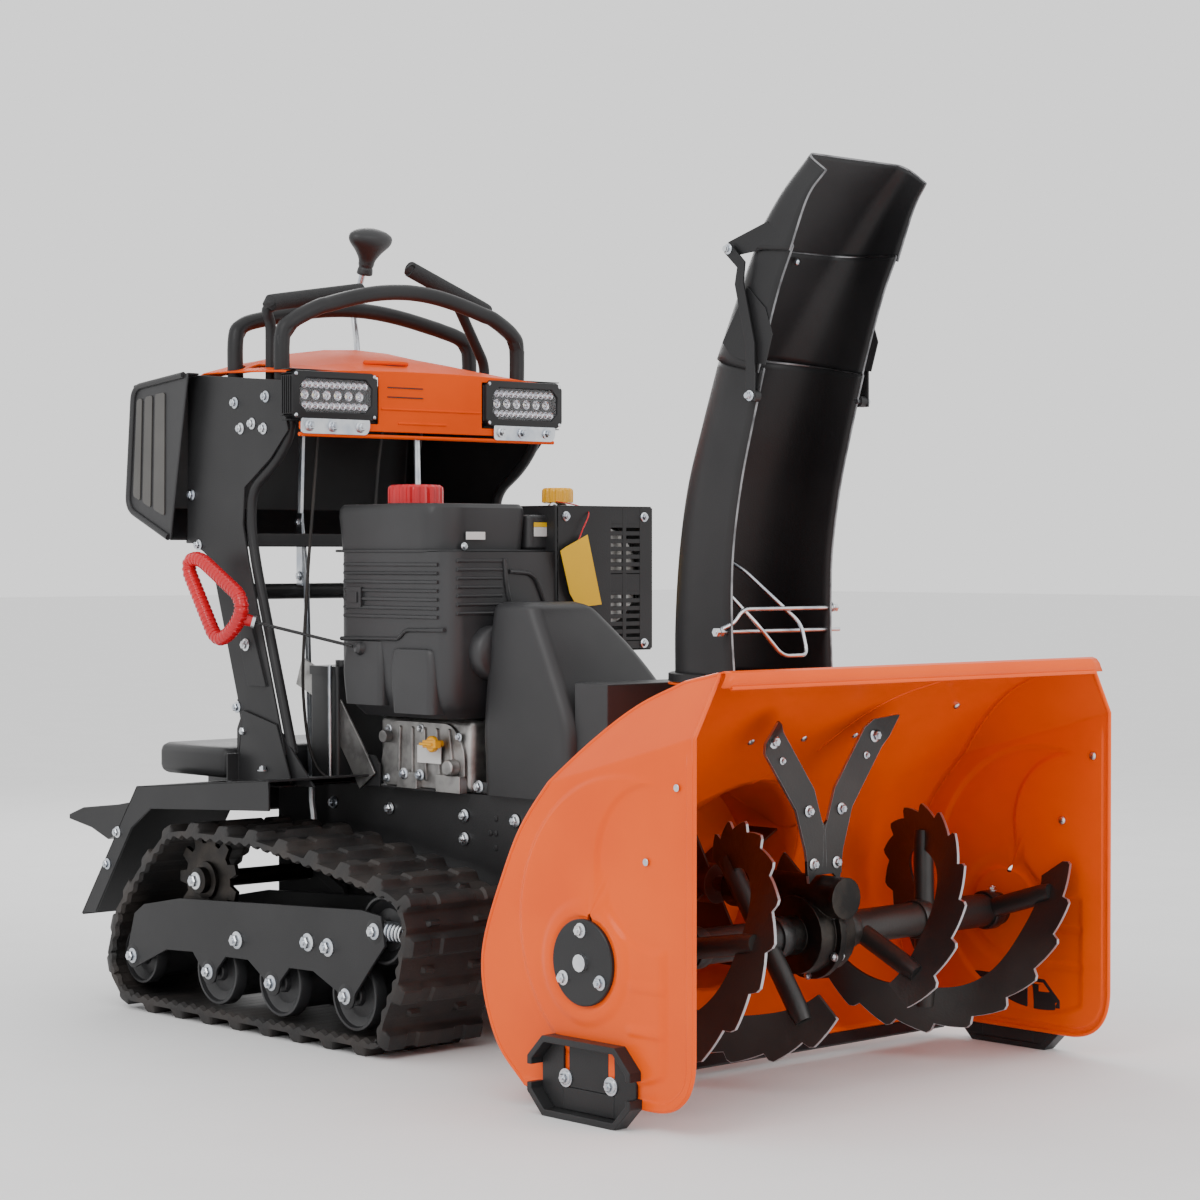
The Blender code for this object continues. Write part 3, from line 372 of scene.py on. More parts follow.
def soften(ob, width):
    """Rounds sharp edges so that they catch the light."""
    bevel = ob.modifiers.new("edges", "BEVEL")
    bevel.width = width
    bevel.segments = 2
    bevel.limit_method = "ANGLE"
    bevel.angle_limit = math.radians(40)
    bevel.use_clamp_overlap = False
    bevel.harden_normals = True


def hexbolt(at, direction, across=0.013, washer=1.0):
    """A flange bolt: washer, six sided head and a domed top."""
    r = across / 2
    flange = turned([(0, 0), (r * 1.55 * washer, 0), (r * 1.55 * washer, r * 0.22), (r * 1.2, r * 0.4),
                     (0, r * 0.4)], at, direction, 18)
    head = turned([(0, r * 0.3), (r * 1.1, r * 0.3), (r * 1.1, r * 1.05), (r * 0.9, r * 1.25), (0, r * 1.2)],
                  at, direction, 6)
    stud = turned([(0, r), (r * 0.5, r), (r * 0.5, r * 1.5), (0, r * 1.55)], at, direction, 12)
    return [flange, head, stud]


rear_curve = curve([(0.324, 0.031), (0.376, 0.076), (0.404, 0.132), (0.413, 0.184), (0.404, 0.233),
                    (0.372, 0.307), (0.333, 0.379), (0.276, 0.444), (0.212, 0.504), (0.146, 0.550),
                    (0.065, 0.584)])


def half_width(y, z):
    """The upper corners lean in above a crease that runs down to the rear."""
    return HALF - np.maximum(0.0, 0.578 * (z - (0.517 - 0.2645 * y)))


def smooth(low, high, value):
    """0 below low, 1 above high, 3t^2 - 2t^3 between them."""
    t = np.clip((value - low) / (high - low), 0.0, 1.0)
    return t * t * (3 - 2 * t)


def swage(y, z, edge):
    """How far the pressed relief of a side plate stands out: one large round field with a
    second round cut out of it, two short ribs in front of the bearing, a dished seat round
    the bearing and a raised border along the front and lower edges."""
    big = np.hypot(y - 0.130, z - 0.260)
    small = np.hypot(y - 0.070, z - 0.345)
    seat = np.hypot(y - AXLE_Y, z - AXLE_Z)
    field = smooth(0.206, 0.196, big) * smooth(0.104, 0.114, small) * smooth(0.045, 0.060, y)
    ribs = sum(smooth(0.009, 0.003, np.abs(z - level)) for level in (0.130, 0.188))
    ribs = ribs * smooth(0.045, 0.055, y) * smooth(0.125, 0.105, y)
    dish = smooth(0.060, 0.066, seat) * smooth(0.088, 0.074, seat)
    border = smooth(0.013, 0.010, edge) * smooth(0.500, 0.480, z) * smooth(0.34, 0.30, y)
    return 0.0042 * field + 0.0022 * ribs + 0.0030 * dish + 0.0022 * border


def side_plate(side):
    """Rays from the middle of the plate to its outline: middle + s (outline - middle), with the
    relief as x; the rays run out on the outer face and back on the inner one."""
    corner = bent([(0.0, 0.517), (0.0, 0.030), (0.324, 0.031)], 0.075, 16)[:-1]
    outline = np.vstack([corner, rear_curve, [(0.0, 0.597)]])
    ring = walked(outline, 420)[0]
    middle = np.array([0.190, 0.270])
    share = np.sqrt(np.linspace(0.0004, 1.0, 84))
    spread = middle + share[None, :, None] * (ring - middle)[:, None]
    y, z = spread[..., 0], spread[..., 1]
    edge = np.minimum(np.minimum(y, z - 0.030), 0.5)
    lower = np.hypot(np.maximum(0.060 - y, 0), np.maximum(0.090 - z, 0))
    edge = np.where((y < 0.060) & (z < 0.090), 0.060 - lower, edge)
    out = half_width(y, z) + swage(y, z, edge)
    outer = np.stack([side * out, y, z], -1)
    inner = np.stack([side * (out - STEEL), y, z], -1)
    rim = np.column_stack([side * (half_width(ring[:, 0], ring[:, 1]) - STEEL / 2), ring])
    return [net(np.concatenate([outer, inner[:, ::-1]], 1), wrap_u=True),
            tube(rim, 0.0032, 8, up=(1.0, 0.001, 0.0), closed=True)]


def back_sheet():
    """Rows follow the rear curve, columns the width. Round the impeller mouth the grid changes
    to rays: mouth + s (grid edge - mouth), so the round opening has a clean rim."""
    rows = np.vstack([rear_curve, [(0.0, 0.5985), (-0.006, 0.6000), (-0.011, 0.5980), (-0.0135, 0.5930),
                                   (-0.0135, 0.5800)]])
    cols = np.linspace(-1.0, 1.0, 49)
    y, z = rows[:, 0][:, None], rows[:, 1][:, None]
    half = half_width(y, z) - STEEL
    grid = np.stack([cols * half, y + 0 * cols, z + 0 * cols], -1)
    i0 = int(np.searchsorted(rear_curve[:, 1], 0.085))
    i1 = int(np.searchsorted(rear_curve[:, 1], 0.442))
    j0, j1 = 13, 35
    n_cols = grid.shape[1]
    points, faces = net(grid)
    keep = [f for f in faces
            if not (i0 <= f[0] // n_cols < i1 and j0 <= f[0] % n_cols < j1)]
    walk = [(i0, j) for j in range(j0, j1)] + [(i, j1) for i in range(i0, i1)]
    walk += [(i1, j) for j in range(j1, j0, -1)] + [(i, j0) for i in range(i1, i0, -1)]
    border = np.array([grid[i, j] for i, j in walk])
    angle = np.arctan2(border[:, 2] - DRUM_Z, border[:, 0])
    mouth = np.stack([DRUM_R * np.cos(angle), DRUM_Z + DRUM_R * np.sin(angle)], -1)
    share = np.linspace(0, 1, 6)[None, :, None]
    flat = mouth[:, None] + share * (border[:, [0, 2]] - mouth)[:, None]
    deep = np.interp(flat[..., 1], rear_curve[:, 1], rear_curve[:, 0])
    patch = np.stack([flat[..., 0], deep, flat[..., 1]], -1)
    patch[:, -1] = border
    return [(points, keep), net(patch, wrap_u=True)]


def drum():
    """The drum starts where its circle meets the rear curve and ends in a flat back with a bore."""
    back_y, steps = 0.4855, 120
    a = np.linspace(0, 2 * np.pi, steps, endpoint=False)
    z = DRUM_Z + DRUM_R * np.sin(a)
    start = np.interp(z, rear_curve[:, 1], rear_curve[:, 0])
    along = np.linspace(0, 1, 6)[None]
    wall = np.stack([np.repeat(DRUM_R * np.cos(a)[:, None], 6, 1),
                     start[:, None] * (1 - along) + back_y * along, np.repeat(z[:, None], 6, 1)], -1)
    radii = np.linspace(DRUM_R, 0.016, 8)[None, 1:]
    back = np.stack([radii * np.cos(a)[:, None], np.full((steps, 7), back_y),
                     DRUM_Z + radii * np.sin(a)[:, None]], -1)
    return net(np.concatenate([wall, back], 1), wrap_u=True)


def chute_neck():
    """A short round pipe from the top of the drum to the turning flange of the chute."""
    pipe_r, brim_r, top = 0.097, 0.110, 0.5615
    a = np.linspace(0, 2 * np.pi, 80, endpoint=False)
    x = NECK[0] + pipe_r * np.cos(a)
    y = NECK[1] + pipe_r * np.sin(a)
    sheet_z = np.interp(y, rear_curve[::-1, 0][:52], rear_curve[::-1, 1][:52])
    low = np.maximum(DRUM_Z + np.sqrt(DRUM_R**2 - x**2), sheet_z) - 0.003
    rows = [np.column_stack([x, y, low]), np.column_stack([x, y, 0 * x + top])]
    brim = np.column_stack([NECK[0] + brim_r * np.cos(a), NECK[1] + brim_r * np.sin(a), 0 * a + top])
    return net(np.stack(rows + [brim], 1), wrap_u=True)


def rivets(spots, normal, radius, rise):
    """Low domes, each a quarter circle turned about its own axis."""
    arc = np.linspace(0, np.pi / 2, 5)
    dome = np.column_stack([radius * np.cos(arc), rise * np.sin(arc)])
    return [turned(np.vstack([[(0, -0.001), (radius, -0.001)], dome]), at, normal, 14) for at in spots]


for side, tag in SIDES:
    plate = piece("housing_side_plate_" + tag, side_plate(side), "chassis", orange)
    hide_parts("auger_housing")
piece("housing_back_sheet", back_sheet(), "chassis", orange, wall=STEEL)
piece("impeller_drum", [drum()], "chassis", orange, wall=STEEL)
piece("chute_neck", [chute_neck()], "chassis", orange, wall=STEEL)
seam_y = np.linspace(0.015, 0.255, 26)
seam = np.column_stack([0.250 - 1.05 * (seam_y - 0.015) + 1.3 * (seam_y - 0.015) ** 2, seam_y,
                        np.interp(-seam_y, -rear_curve[:, 0][24:], rear_curve[:, 1][24:]) - 0.0012])
lip = np.array([(-0.38, -0.0135, 0.5795), (0.38, -0.0135, 0.5795)])
piece("housing_seams", [tube(seam, 0.0017, 8), tube(lip, 0.0028, 10, up=(0, 0, 1))], "chassis", orange)
spots = [(-0.09, 0.2310, 0.4860), (0.02, 0.2310, 0.4860), (0.13, 0.2310, 0.4860), (0.30, 0.1800, 0.5250)]
piece("housing_rivets", rivets(spots, (0, -0.75, -0.66), 0.006, 0.003)
      + rivets([(0.430, 0.028, 0.452), (0.430, 0.085, 0.352)], (-1, 0, 0), 0.0065, 0.003)
      + rivets([(-0.4385, 0.028, 0.452), (-0.4385, 0.085, 0.352)], (-1, 0, 0), 0.005, 0.001),
      "chassis", zinc)

# Bearing covers: turned steel discs in black over both ends of the auger shaft, three bolts each.
cover_profile = [(0, 0), (0.058, 0), (0.058, 0.0055), (0.0565, 0.0068), (0.012, 0.0068), (0.0, 0.0068)]
discs = [turned(cover_profile, (side * (HALF + 0.0032), AXLE_Y, AXLE_Z), (side, 0, 0), 64)
         for side in (-1, 1)]
piece("bearing_covers", discs, "chassis", black)
BOLT_CIRCLE = 0.043
bolts = []
for side in (-1, 1):
    for turn in (1.62, 3.72, 5.72):
        spot = (side * (HALF + 0.0098), AXLE_Y - BOLT_CIRCLE * math.cos(turn),
                AXLE_Z + BOLT_CIRCLE * math.sin(turn))
        bolts += hexbolt(spot, (side, 0, 0), 0.013)


def dressed(node, finish, width=0.0007, sharp=35.0):
    """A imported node's own shape with its corners merged, its edges rounded and a finish on it."""
    source = frame["nodes"][node]
    mesh = source.data.copy()
    made = bmesh.new()
    made.from_mesh(mesh)
    bmesh.ops.remove_doubles(made, verts=made.verts, dist=1e-5)
    bmesh.ops.dissolve_limit(made, angle_limit=math.radians(1.0), verts=made.verts, edges=made.edges)
    made.to_mesh(mesh)
    made.free()
    mesh.materials.clear()
    mesh.materials.append(finish)
    mesh.shade_smooth()
    mesh.set_sharp_from_angle(angle=math.radians(sharp))
    ob = bpy.data.objects.new(node + "_finished", mesh)
    scene.collection.objects.link(ob)
    if width:
        soften(ob, width)
    body = next(b for b, members in record["behaviour"]["bodies"].items() if node in members)
    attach(ob, body)
    next(s["material_slot"] for s in record["subparts"] if s["node"] == node)
    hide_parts(node)
    return ob


# Skid shoes: wear plates in three columns round two slots, with a thick rim along the upper and
# the lower half of an eight sided outline, and big washers under the bolts.
RIM = np.array([(0.092, 0.066), (0.092, 0.078), (0.122, 0.108), (0.263, 0.108), (0.293, 0.078),
                (0.293, 0.066), (0.284, 0.066), (0.284, 0.0743), (0.2593, 0.099), (0.1257, 0.099),
                (0.101, 0.0743), (0.101, 0.066)])
PLATE = [(0.101, 0.1425, 0.034, 0.0743), (0.1425, 0.2425, 0.009, 0.040), (0.1425, 0.2425, 0.096, 0.099),
         (0.1535, 0.2305, 0.040, 0.096), (0.2415, 0.284, 0.034, 0.0743)]
for side, tag in SIDES:
    x0, x1, x2 = (side * (HALF + reach) for reach in (0.0004, 0.0048, 0.0250))
    shapes = [block(outline, "x", *sorted((x0, x2))) for outline in (RIM, RIM * (1, -1) + (0, 0.108))]
    shapes += [box((min(x0, x1), y0, z0), (max(x0, x1), y1, z1)) for y0, y1, z0, z1 in PLATE]
    for y0, y1, corner in ((0.101, 0.1425, 0.1257), (0.284, 0.2415, 0.2593)):
        for low, high in ((0.0743, 0.099), (0.034, 0.009)):
            wedge = [(y0, low), (y1, low), (y1, high), (corner, high)]
            shapes.append(block(wedge, "x", *sorted((x0, x1))))
    shoe = piece("skid_shoe_cast_" + tag, shapes, "chassis", black, round_edge=0.0014)
    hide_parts("skid_shoe_" + tag)
    for y in (0.148, 0.236):
        spot = (side * (HALF + 0.0048), y, 0.052)
        bolts += [short_rod(0.0125, 0.0016, spot, (side, 0, 0), 24)]
        bolts += hexbolt(np.array(spot) + (side * 0.0016, 0, 0), (side, 0, 0), 0.012)
dressed("scraper_bar", black, 0.0008)

# ---------------------------------------------------------------- augers, gearbox and impeller
# Two saw-toothed helical bands on each side, welded to thick pipe arms on a
# hollow shaft. Black paint, worn to bright steel on the teeth and the rims.
TEETH = 13
INNER_X, BAND = 0.074, 0.337              # where the bands start from the middle, and their length
TWIST, START = 4.4, 0.7                   # how far a band turns, and the angle of its first end


def worn_paint(name):
    """Black paint that gives way to scratched steel where the wear value is high."""
    finish = Finish(name)
    wear = finish.node("ShaderNodeAttribute", {"attribute_name": "wear"}, [], out="Fac")
    scratch = finish.noise(90.0, 4.0)
    bare = (wear + scratch * 0.5).step(0.95, 1.2)
    paint = finish.mix(finish.noise(8.0).step(0.35, 0.7), colour(0.012, 0.011, 0.011),
                       colour(0.024, 0.020, 0.018))
    finish.give("Base Color", finish.mix(bare, paint, colour(0.46, 0.46, 0.48)))
    finish.give("Metallic", bare * 0.9)
    finish.give("Roughness", scratch * 0.2 + 0.28)
    finish.bump(finish.noise(260.0), 0.0003)
    return finish.material


worn_black = worn_paint("worn_black_paint")


def toothed_band(side, phase):
    """Angle phase - TWIST t, distance from the middle INNER_X + BAND t; the outer radius is a saw
    of t and the inner one waves gently. The second value is the wear, 1 on the outer rim."""
    t = np.linspace(0, 1, TEETH * 10 + 1)
    saw = np.mod(t * TEETH, 1.0)
    outer = 0.1575 + 0.0145 * np.minimum(saw / 0.86, (1 - saw) / 0.14)
    inner = 0.1070 + 0.004 * np.cos(t * 2 * np.pi * 3)
    angle = phase - TWIST * t * side
    x = side * (INNER_X + BAND * t)
    level = np.array([0.0, 0.06, 0.5, 0.94, 1.0, 1.0, 0.94, 0.5, 0.06, 0.0])
    lift = np.array([-1, -1, -1, -1, -1, 1, 1, 1, 1, 1]) * 0.0024
    r = inner[:, None] + (outer - inner)[:, None] * level
    points = np.stack([x[:, None] + lift, AXLE_Y + r * np.cos(angle)[:, None],
                       AXLE_Z + r * np.sin(angle)[:, None]], -1)
    wear = np.broadcast_to(level >= 0.97, (len(t), len(level))).astype(float)
    return net(points, wrap_v=True, cap=True), wear.ravel()


for side, tag in SIDES:
    shapes, wear = [], []
    for k in range(2):
        phase = math.pi * k + START
        band, rim = toothed_band(side, phase)
        shapes.append(band)
        wear.append(rim)
        for t in (0.06, 0.52, 0.94):
            a = phase - TWIST * t * side
            reach = np.linspace(0.016, 0.132, 8)[:, None]
            foot = np.array([side * (INNER_X + BAND * t), AXLE_Y, AXLE_Z])
            arm = foot + reach * (0, math.cos(a), math.sin(a))
            shapes.append(tube(arm, np.interp(reach[:, 0], (0.016, 0.12, 0.132), (0.0150, 0.0150, 0.0125)),
                               20))
            wear.append(np.zeros(len(shapes[-1][0])))
    pipe = np.linspace(0.0625, 0.4205, 12)
    shapes.append(tube(np.column_stack([side * pipe, 0 * pipe + AXLE_Y, 0 * pipe + AXLE_Z]), 0.0252, 36,
                       up=(0, 0, 1)))
    wear.append(np.zeros(len(shapes[-1][0])))
    for x in (0.070, 0.235, 0.396):
        shapes.append(turned([(0, -0.011), (0.0285, -0.011), (0.0295, -0.009), (0.0295, 0.009),
                              (0.0285, 0.011), (0, 0.011)], (side * x, AXLE_Y, AXLE_Z), (side, 0, 0), 32))
        wear.append(np.zeros(len(shapes[-1][0])))
    auger = piece("toothed_auger_" + tag, shapes, "auger", worn_black,
                  values={"wear": np.concatenate(wear)})
    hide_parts("auger_" + tag)
pins = [b for side in (-1, 1) for x in (0.082, 0.408)
        for b in hexbolt((side * x, AXLE_Y, 0.2385), (0, 0, 1), 0.010)]
piece("shear_bolts", pins, "auger", zinc)
dressed("auger_shaft", zinc)

iron = metal("dark_cast_iron", colour(0.035, 0.033, 0.032), colour(0.060, 0.052, 0.046), 0.42, 0.0004)
dressed("gearbox_case", iron, 0.0012)
CASE_CIRCLE = 0.060
case_bolts = [hexbolt((side * 0.0062, AXLE_Y + CASE_CIRCLE * math.cos(a), AXLE_Z + CASE_CIRCLE * math.sin(a)),
                      (side, 0, 0), 0.0085)
              for side in (-1, 1) for a in np.arange(6) * math.pi / 3 + 0.5]
case_bolts += [hexbolt((x, 0.1715, z), (0, -1, 0), 0.011)
               for x, z in ((-0.024, 0.312), (0.024, 0.312), (-0.034, 0.388), (0.034, 0.388))]
piece("gearbox_bolts", sum(case_bolts, []), "chassis", zinc)


def cutter_arm(side):
    """A flat bar up from the gearbox whose end is bent forward and cut to a point: the outline is
    a fan of rows across the bar, each row a centre plus or minus a half width."""
    rows = np.array([(0.018, 0.2962, 0.018, 0), (0.020, 0.345, 0.024, 0), (0.040, 0.404, 0.0235, 0),
                     (0.075, 0.450, 0.0235, 0), (0.104, 0.488, 0.0235, 0), (0.113, 0.501, 0.021, -0.008),
                     (0.126, 0.520, 0.001, -0.030)])
    spread = np.array([-1.0, -0.96, 0.0, 0.96, 1.0])
    slant = np.array([0.78, -0.62])
    x = side * (rows[:, 0][:, None] + spread * rows[:, 2][:, None] * slant[0])
    z = rows[:, 1][:, None] + spread * rows[:, 2][:, None] * slant[1]
    y = 0.1745 + rows[:, 3][:, None] + 0 * x
    face = np.stack([x, y - 0.0024, z], -1)
    rear = np.stack([x, y + 0.0024, z], -1)[:, ::-1]
    grid = np.concatenate([face, rear], 1)
    rim = np.zeros((len(rows), 10))
    rim[:, [0, 4, 5, 9]] = 1.0
    return net(grid, wrap_v=True, cap=True), rim.ravel()


arms = [cutter_arm(side) for side in (-1, 1)]
foot = block([(-0.036, 0.2962), (0.036, 0.2962), (0.038, 0.350), (0.016, 0.385), (0.0, 0.366),
              (-0.016, 0.385), (-0.038, 0.350)], "y", 0.1722, 0.1768)
cutters = piece("drift_cutters", [a[0] for a in arms] + [foot], "chassis", worn_black,
                values={"wear": np.concatenate([a[1] for a in arms] + [np.zeros(len(foot[0]))])})
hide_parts("cutter_arms")
tips = [hexbolt((side * 0.106, 0.1718, 0.490), (0, -1, 0), 0.013) for side in (-1, 1)]
tips += [hexbolt((side * 0.088, 0.1718, 0.462), (0, -1, 0), 0.007) for side in (-1, 1)]
piece("cutter_bolts", sum(tips, []), "chassis", zinc)

# Painted shade and painted bounce light: the impeller's dark red-brown stands for blades in the drum's shade,
# lit by orange light from the housing.
impeller_shade_red = painted("impeller_painted_shade", colour(0.10, 0.018, 0.008), colour(0.05, 0.010, 0.006), 0.35, 0.0003)
dressed("impeller", impeller_shade_red, 0.0010)

# ---------------------------------------------------------------- chute
# A tall channel rolled from 3 mm sheet, open to the front, on a turning ring. Two
# more stages are hinged on top: a middle flap and the deflector, held by links.
AXIS_X = 0.040
satin = painted("chute_satin_paint", colour(0.014, 0.014, 0.015), colour(0.023, 0.023, 0.024), 0.42, 0.0002)
# Painted highlight: grey metal strips along the chute's cut edges stand in for the light their rounded edges
# catch.
edge_highlight_metal = metal("painted_edge_highlight", colour(0.30, 0.30, 0.31), colour(0.12, 0.12, 0.125), 0.35, 0.0001)


def channel_rows(rows, steps=10, corner_steps=14):
    """Rows of (front height, rear height, half width, front, rear, corner) become one U section each:
    straight wall, quarter circle, back, quarter circle, straight wall; a curve joins the rows."""
    r = curve(rows, steps)
    a = np.linspace(0, np.pi / 2, corner_steps)
    z0, z1, half, front, rear, corner = (r[:, k][:, None] for k in range(6))
    wall = np.linspace(0, 1, 5)[None, :-1]
    first = rear - corner
    left_x = np.concatenate([-half + 0 * wall, -half + corner - corner * np.cos(a)[None]], 1)
    left_y = np.concatenate([front + (first - front) * wall, first + corner * np.sin(a)[None]], 1)
    x = np.concatenate([left_x, -left_x[:, ::-1]], 1)
    y = np.concatenate([left_y, left_y[:, ::-1]], 1)
    z = z0 + (z1 - z0) * (y - front) / (rear - front)
    return np.stack([AXIS_X + x, y, z], -1)


def stage(name, rows, body, node):
    """One stage of the chute as a bent sheet, with grey metal strips along its edges as a painted highlight.
    """
    grid = channel_rows(rows)
    made = piece(name, [net(grid)], body, satin, wall=STEEL, sharp=50)
    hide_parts(node)
    edges = [tube(grid[:, k], 0.0017, 8) for k in (0, -1)]
    edges += [tube(grid[-1], 0.0017, 8, up=(0, 0, 1))]
    piece(name + "_edges", edges, body, edge_highlight_metal)


body_rows = [(0.5740, 0.5740, 0.1035, 0.290, 0.4690, 0.100), (0.6500, 0.6500, 0.1050, 0.294, 0.4670, 0.100),
             (0.7500, 0.7500, 0.1050, 0.292, 0.4590, 0.100), (0.8500, 0.8500, 0.1050, 0.276, 0.4380, 0.095),
             (0.9400, 0.9400, 0.1050, 0.252, 0.4020, 0.085), (1.0150, 1.0380, 0.1050, 0.230, 0.3620, 0.075)]
flap_rows = [(1.0100, 1.0400, 0.1095, 0.238, 0.3600, 0.072), (1.1200, 1.1250, 0.1095, 0.200, 0.3070, 0.055),
             (1.1850, 1.1900, 0.1095, 0.170, 0.2650, 0.040)]
tip_rows = [(1.1780, 1.1870, 0.1140, 0.172, 0.2690, 0.036), (1.2500, 1.2600, 0.1120, 0.140, 0.2080, 0.030),
            (1.2850, 1.3130, 0.1060, 0.111, 0.1500, 0.018)]
stage("chute_channel_body", body_rows, "chute", "chute_body")
stage("chute_middle_flap", flap_rows, "flap", "chute_flap")
stage("chute_deflector_hood", tip_rows, "deflector", "chute_deflector")
wings = [(0.2560, 1.1336), (0.3056, 1.0560), (0.2913, 1.0394), (0.2700, 1.0300), (0.2210, 1.0200),
         (0.2072, 1.0627), (0.2200, 1.1000)]
ears = [(0.225, 1.183), (0.292, 1.177), (0.292, 1.199), (0.215, 1.222), (0.190, 1.200)]
piece("flap_wings", [block(wings, "x", AXIS_X + s * 0.1110, AXIS_X + s * 0.1132) for s in (-1, 1)],
      "flap", satin, round_edge=0.0005)
piece("deflector_ears", [block(ears, "x", AXIS_X + s * 0.1130, AXIS_X + s * 0.1152) for s in (-1, 1)],
      "deflector", satin, round_edge=0.0005)
inner_bolts = [(-0.045, 0.3560, 1.0290, "chute"), (0.000, 0.3560, 1.0290, "chute"),
               (-0.045, 0.2640, 1.1760, "flap"), (0.000, 0.2640, 1.1760, "flap")]
for body in ("chute", "flap"):
    heads = rivets([(AXIS_X + x, y, z) for x, y, z, b in inner_bolts if b == body], (0, -0.95, -0.3), 0.005,
                   0.003)
    piece("hinge_rivets_" + body, heads, body, zinc)

# Turning ring: a flat steel ring with a rolled collar under the channel.
ring = [(0.0960, -0.0053), (0.1098, -0.0053), (0.1098, 0.0058), (0.1060, 0.0075), (0.0990, 0.0075),
        (0.0960, 0.0058)]
d, u, v = frame_of((0, 0, 1))
a = np.linspace(0, 2 * np.pi, 96, endpoint=False)
circle = np.cos(a)[:, None] * u + np.sin(a)[:, None] * v
ring_grid = np.array([[AXIS_X, 0.375, 0.570 + h] + r * circle for r, h in ring])
collar = net(ring_grid, wrap_u=True, wrap_v=True)
piece("chute_turning_ring", [collar], "chute", satin)

# Wire guard: bright rods across the lower opening and a bent finger wire over both.
low_rod = [(-0.092, 0.302, 0.640), (0.172, 0.302, 0.640)]
high_rod = bent([(-0.078, 0.3005, 0.645), (-0.060, 0.296, 0.652), (-0.040, 0.296, 0.6725),
                 (0.160, 0.300, 0.6725)], 0.012)
finger = bent([(0.012, 0.366, 0.738), (0.020, 0.350, 0.727), (0.075, 0.289, 0.650), (0.075, 0.276, 0.604),
               (0.022, 0.276, 0.604), (-0.020, 0.286, 0.650), (-0.062, 0.330, 0.715)], 0.014)
wires = [tube(low_rod, 0.0033, 12, up=(0, 0, 1)), tube(high_rod, 0.0033, 12, up=(0, 1, 0)),
         tube(finger, 0.0030, 12, up=(0, 0.8, -0.6))]
for spot in ((-0.088, 0.302, 0.640), (-0.080, 0.302, 0.640), (0.160, 0.300, 0.6725)):
    wires.append(turned([(0, -0.003), (0.0065, -0.003), (0.0065, 0.003), (0, 0.003)], spot, (1, 0, 0), 6))
loop_angle = np.linspace(0, 2 * np.pi, 20, endpoint=False)
clip = np.column_stack([0 * loop_angle + 0.150, 0.300 + 0.009 * np.cos(loop_angle),
                        0.6735 + 0.007 * np.sin(loop_angle)])
wires.append(tube(clip, 0.0014, 8, closed=True))
piece("chute_wire_guard", wires, "chute", zinc)

# Links: cranked flat bars from pins on the channel to pins on the deflector's ears.
for side, tag in SIDES:
    line = np.array([(0.2420, 0.9690), (0.2420, 1.0500), (0.2640, 1.1380), (0.2600, 1.1640),
                     (0.2880, 1.1900)])
    x0, x1 = sorted((AXIS_X + side * 0.1192, AXIS_X + side * 0.1222))
    link = piece("deflector_link_bar_" + tag, [block(strip(line, 0.0085), "x", x0, x1)], "links", satin,
                 round_edge=0.0006)
    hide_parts("deflector_link_" + tag)
    pin = [tube([(AXIS_X + side * 0.1030, y, z), (AXIS_X + side * 0.1300, y, z)], 0.0042, 12, up=(0, 0, 1))
           for y, z in ((0.242, 0.977), (0.285, 1.188))]
    pin += hexbolt((AXIS_X + side * 0.1222, 0.242, 0.977), (side, 0, 0), 0.010)
    pin += hexbolt((AXIS_X + side * 0.1222, 0.285, 1.188), (side, 0, 0), 0.010)
    piece("link_pins_" + tag, pin, "links", zinc)
    sleeve = [short_rod(0.0085, 0.012, (AXIS_X + side * 0.1068, 0.242, 0.977), (side, 0, 0), 20)]
    piece("link_sleeve_" + tag, sleeve, "chute", satin)

# ---------------------------------------------------------------- chassis, belts and belt hood
# A folded steel frame on two side plates carries the engine and the transaxle. The
# belts in front of the engine run under a moulded hood bolted to the frame.
dressed("chassis_frame", black, 0.0012)
rubber = Finish("moulded_black_rubber")
rub_cloud = rubber.noise(14.0, 4.0)
rubber.give("Base Color", rubber.mix(rub_cloud.step(0.35, 0.7), colour(0.011, 0.010, 0.010),
                                     colour(0.030, 0.024, 0.021)))
rubber.give("Roughness", rub_cloud * 0.2 + 0.5)
rubber.bump(rubber.noise(220.0, 4.0), 0.0006)
rubber = rubber.material
cast = metal("cast_aluminium", colour(0.42, 0.41, 0.40), colour(0.22, 0.215, 0.21), 0.42, 0.0006)
for node in ("auger_belt", "traction_belt"):
    dressed(node, rubber, 0.0)
for node in ("crankshaft", "drive_shaft", "control_rod"):
    dressed(node, zinc, 0.0004)
dressed("transaxle", cast, 0.002)
dressed("drive_arm", black)

moulding = Finish("moulded_black_plastic")
grain = moulding.noise(900.0, 2.0)
tone = moulding.noise(3.0)
moulding.give("Base Color", moulding.mix(tone.step(0.3, 0.7), colour(0.016, 0.016, 0.017),
                                         colour(0.028, 0.028, 0.030)))
moulding.give("Roughness", moulding.noise(40.0) * 0.12 + 0.36)
moulding.bump(grain, 0.00025)
moulding = moulding.material


def lofted(rows, corner, steps=7):
    """Rows of (z, x0, x1, y0, y1) become rounded rectangles: each corner is a quarter circle of the
    given radius; a curve joins the rows and the ends are closed."""
    r = curve(rows, steps)
    a = np.linspace(0, np.pi / 2, 7)
    loops = []
    for k, (sx, sy) in enumerate(((1, 1), (-1, 1), (-1, -1), (1, -1))):
        turn = a + k * np.pi / 2
        cx = (r[:, 2] - corner) if sx > 0 else (r[:, 1] + corner)
        cy = (r[:, 4] - corner) if sy > 0 else (r[:, 3] + corner)
        loops.append(np.stack([cx[:, None] + corner * np.cos(turn), cy[:, None] + corner * np.sin(turn),
                               r[:, 0][:, None] + 0 * turn], -1))
    return net(np.concatenate(loops, 1), wrap_v=True, cap=True)


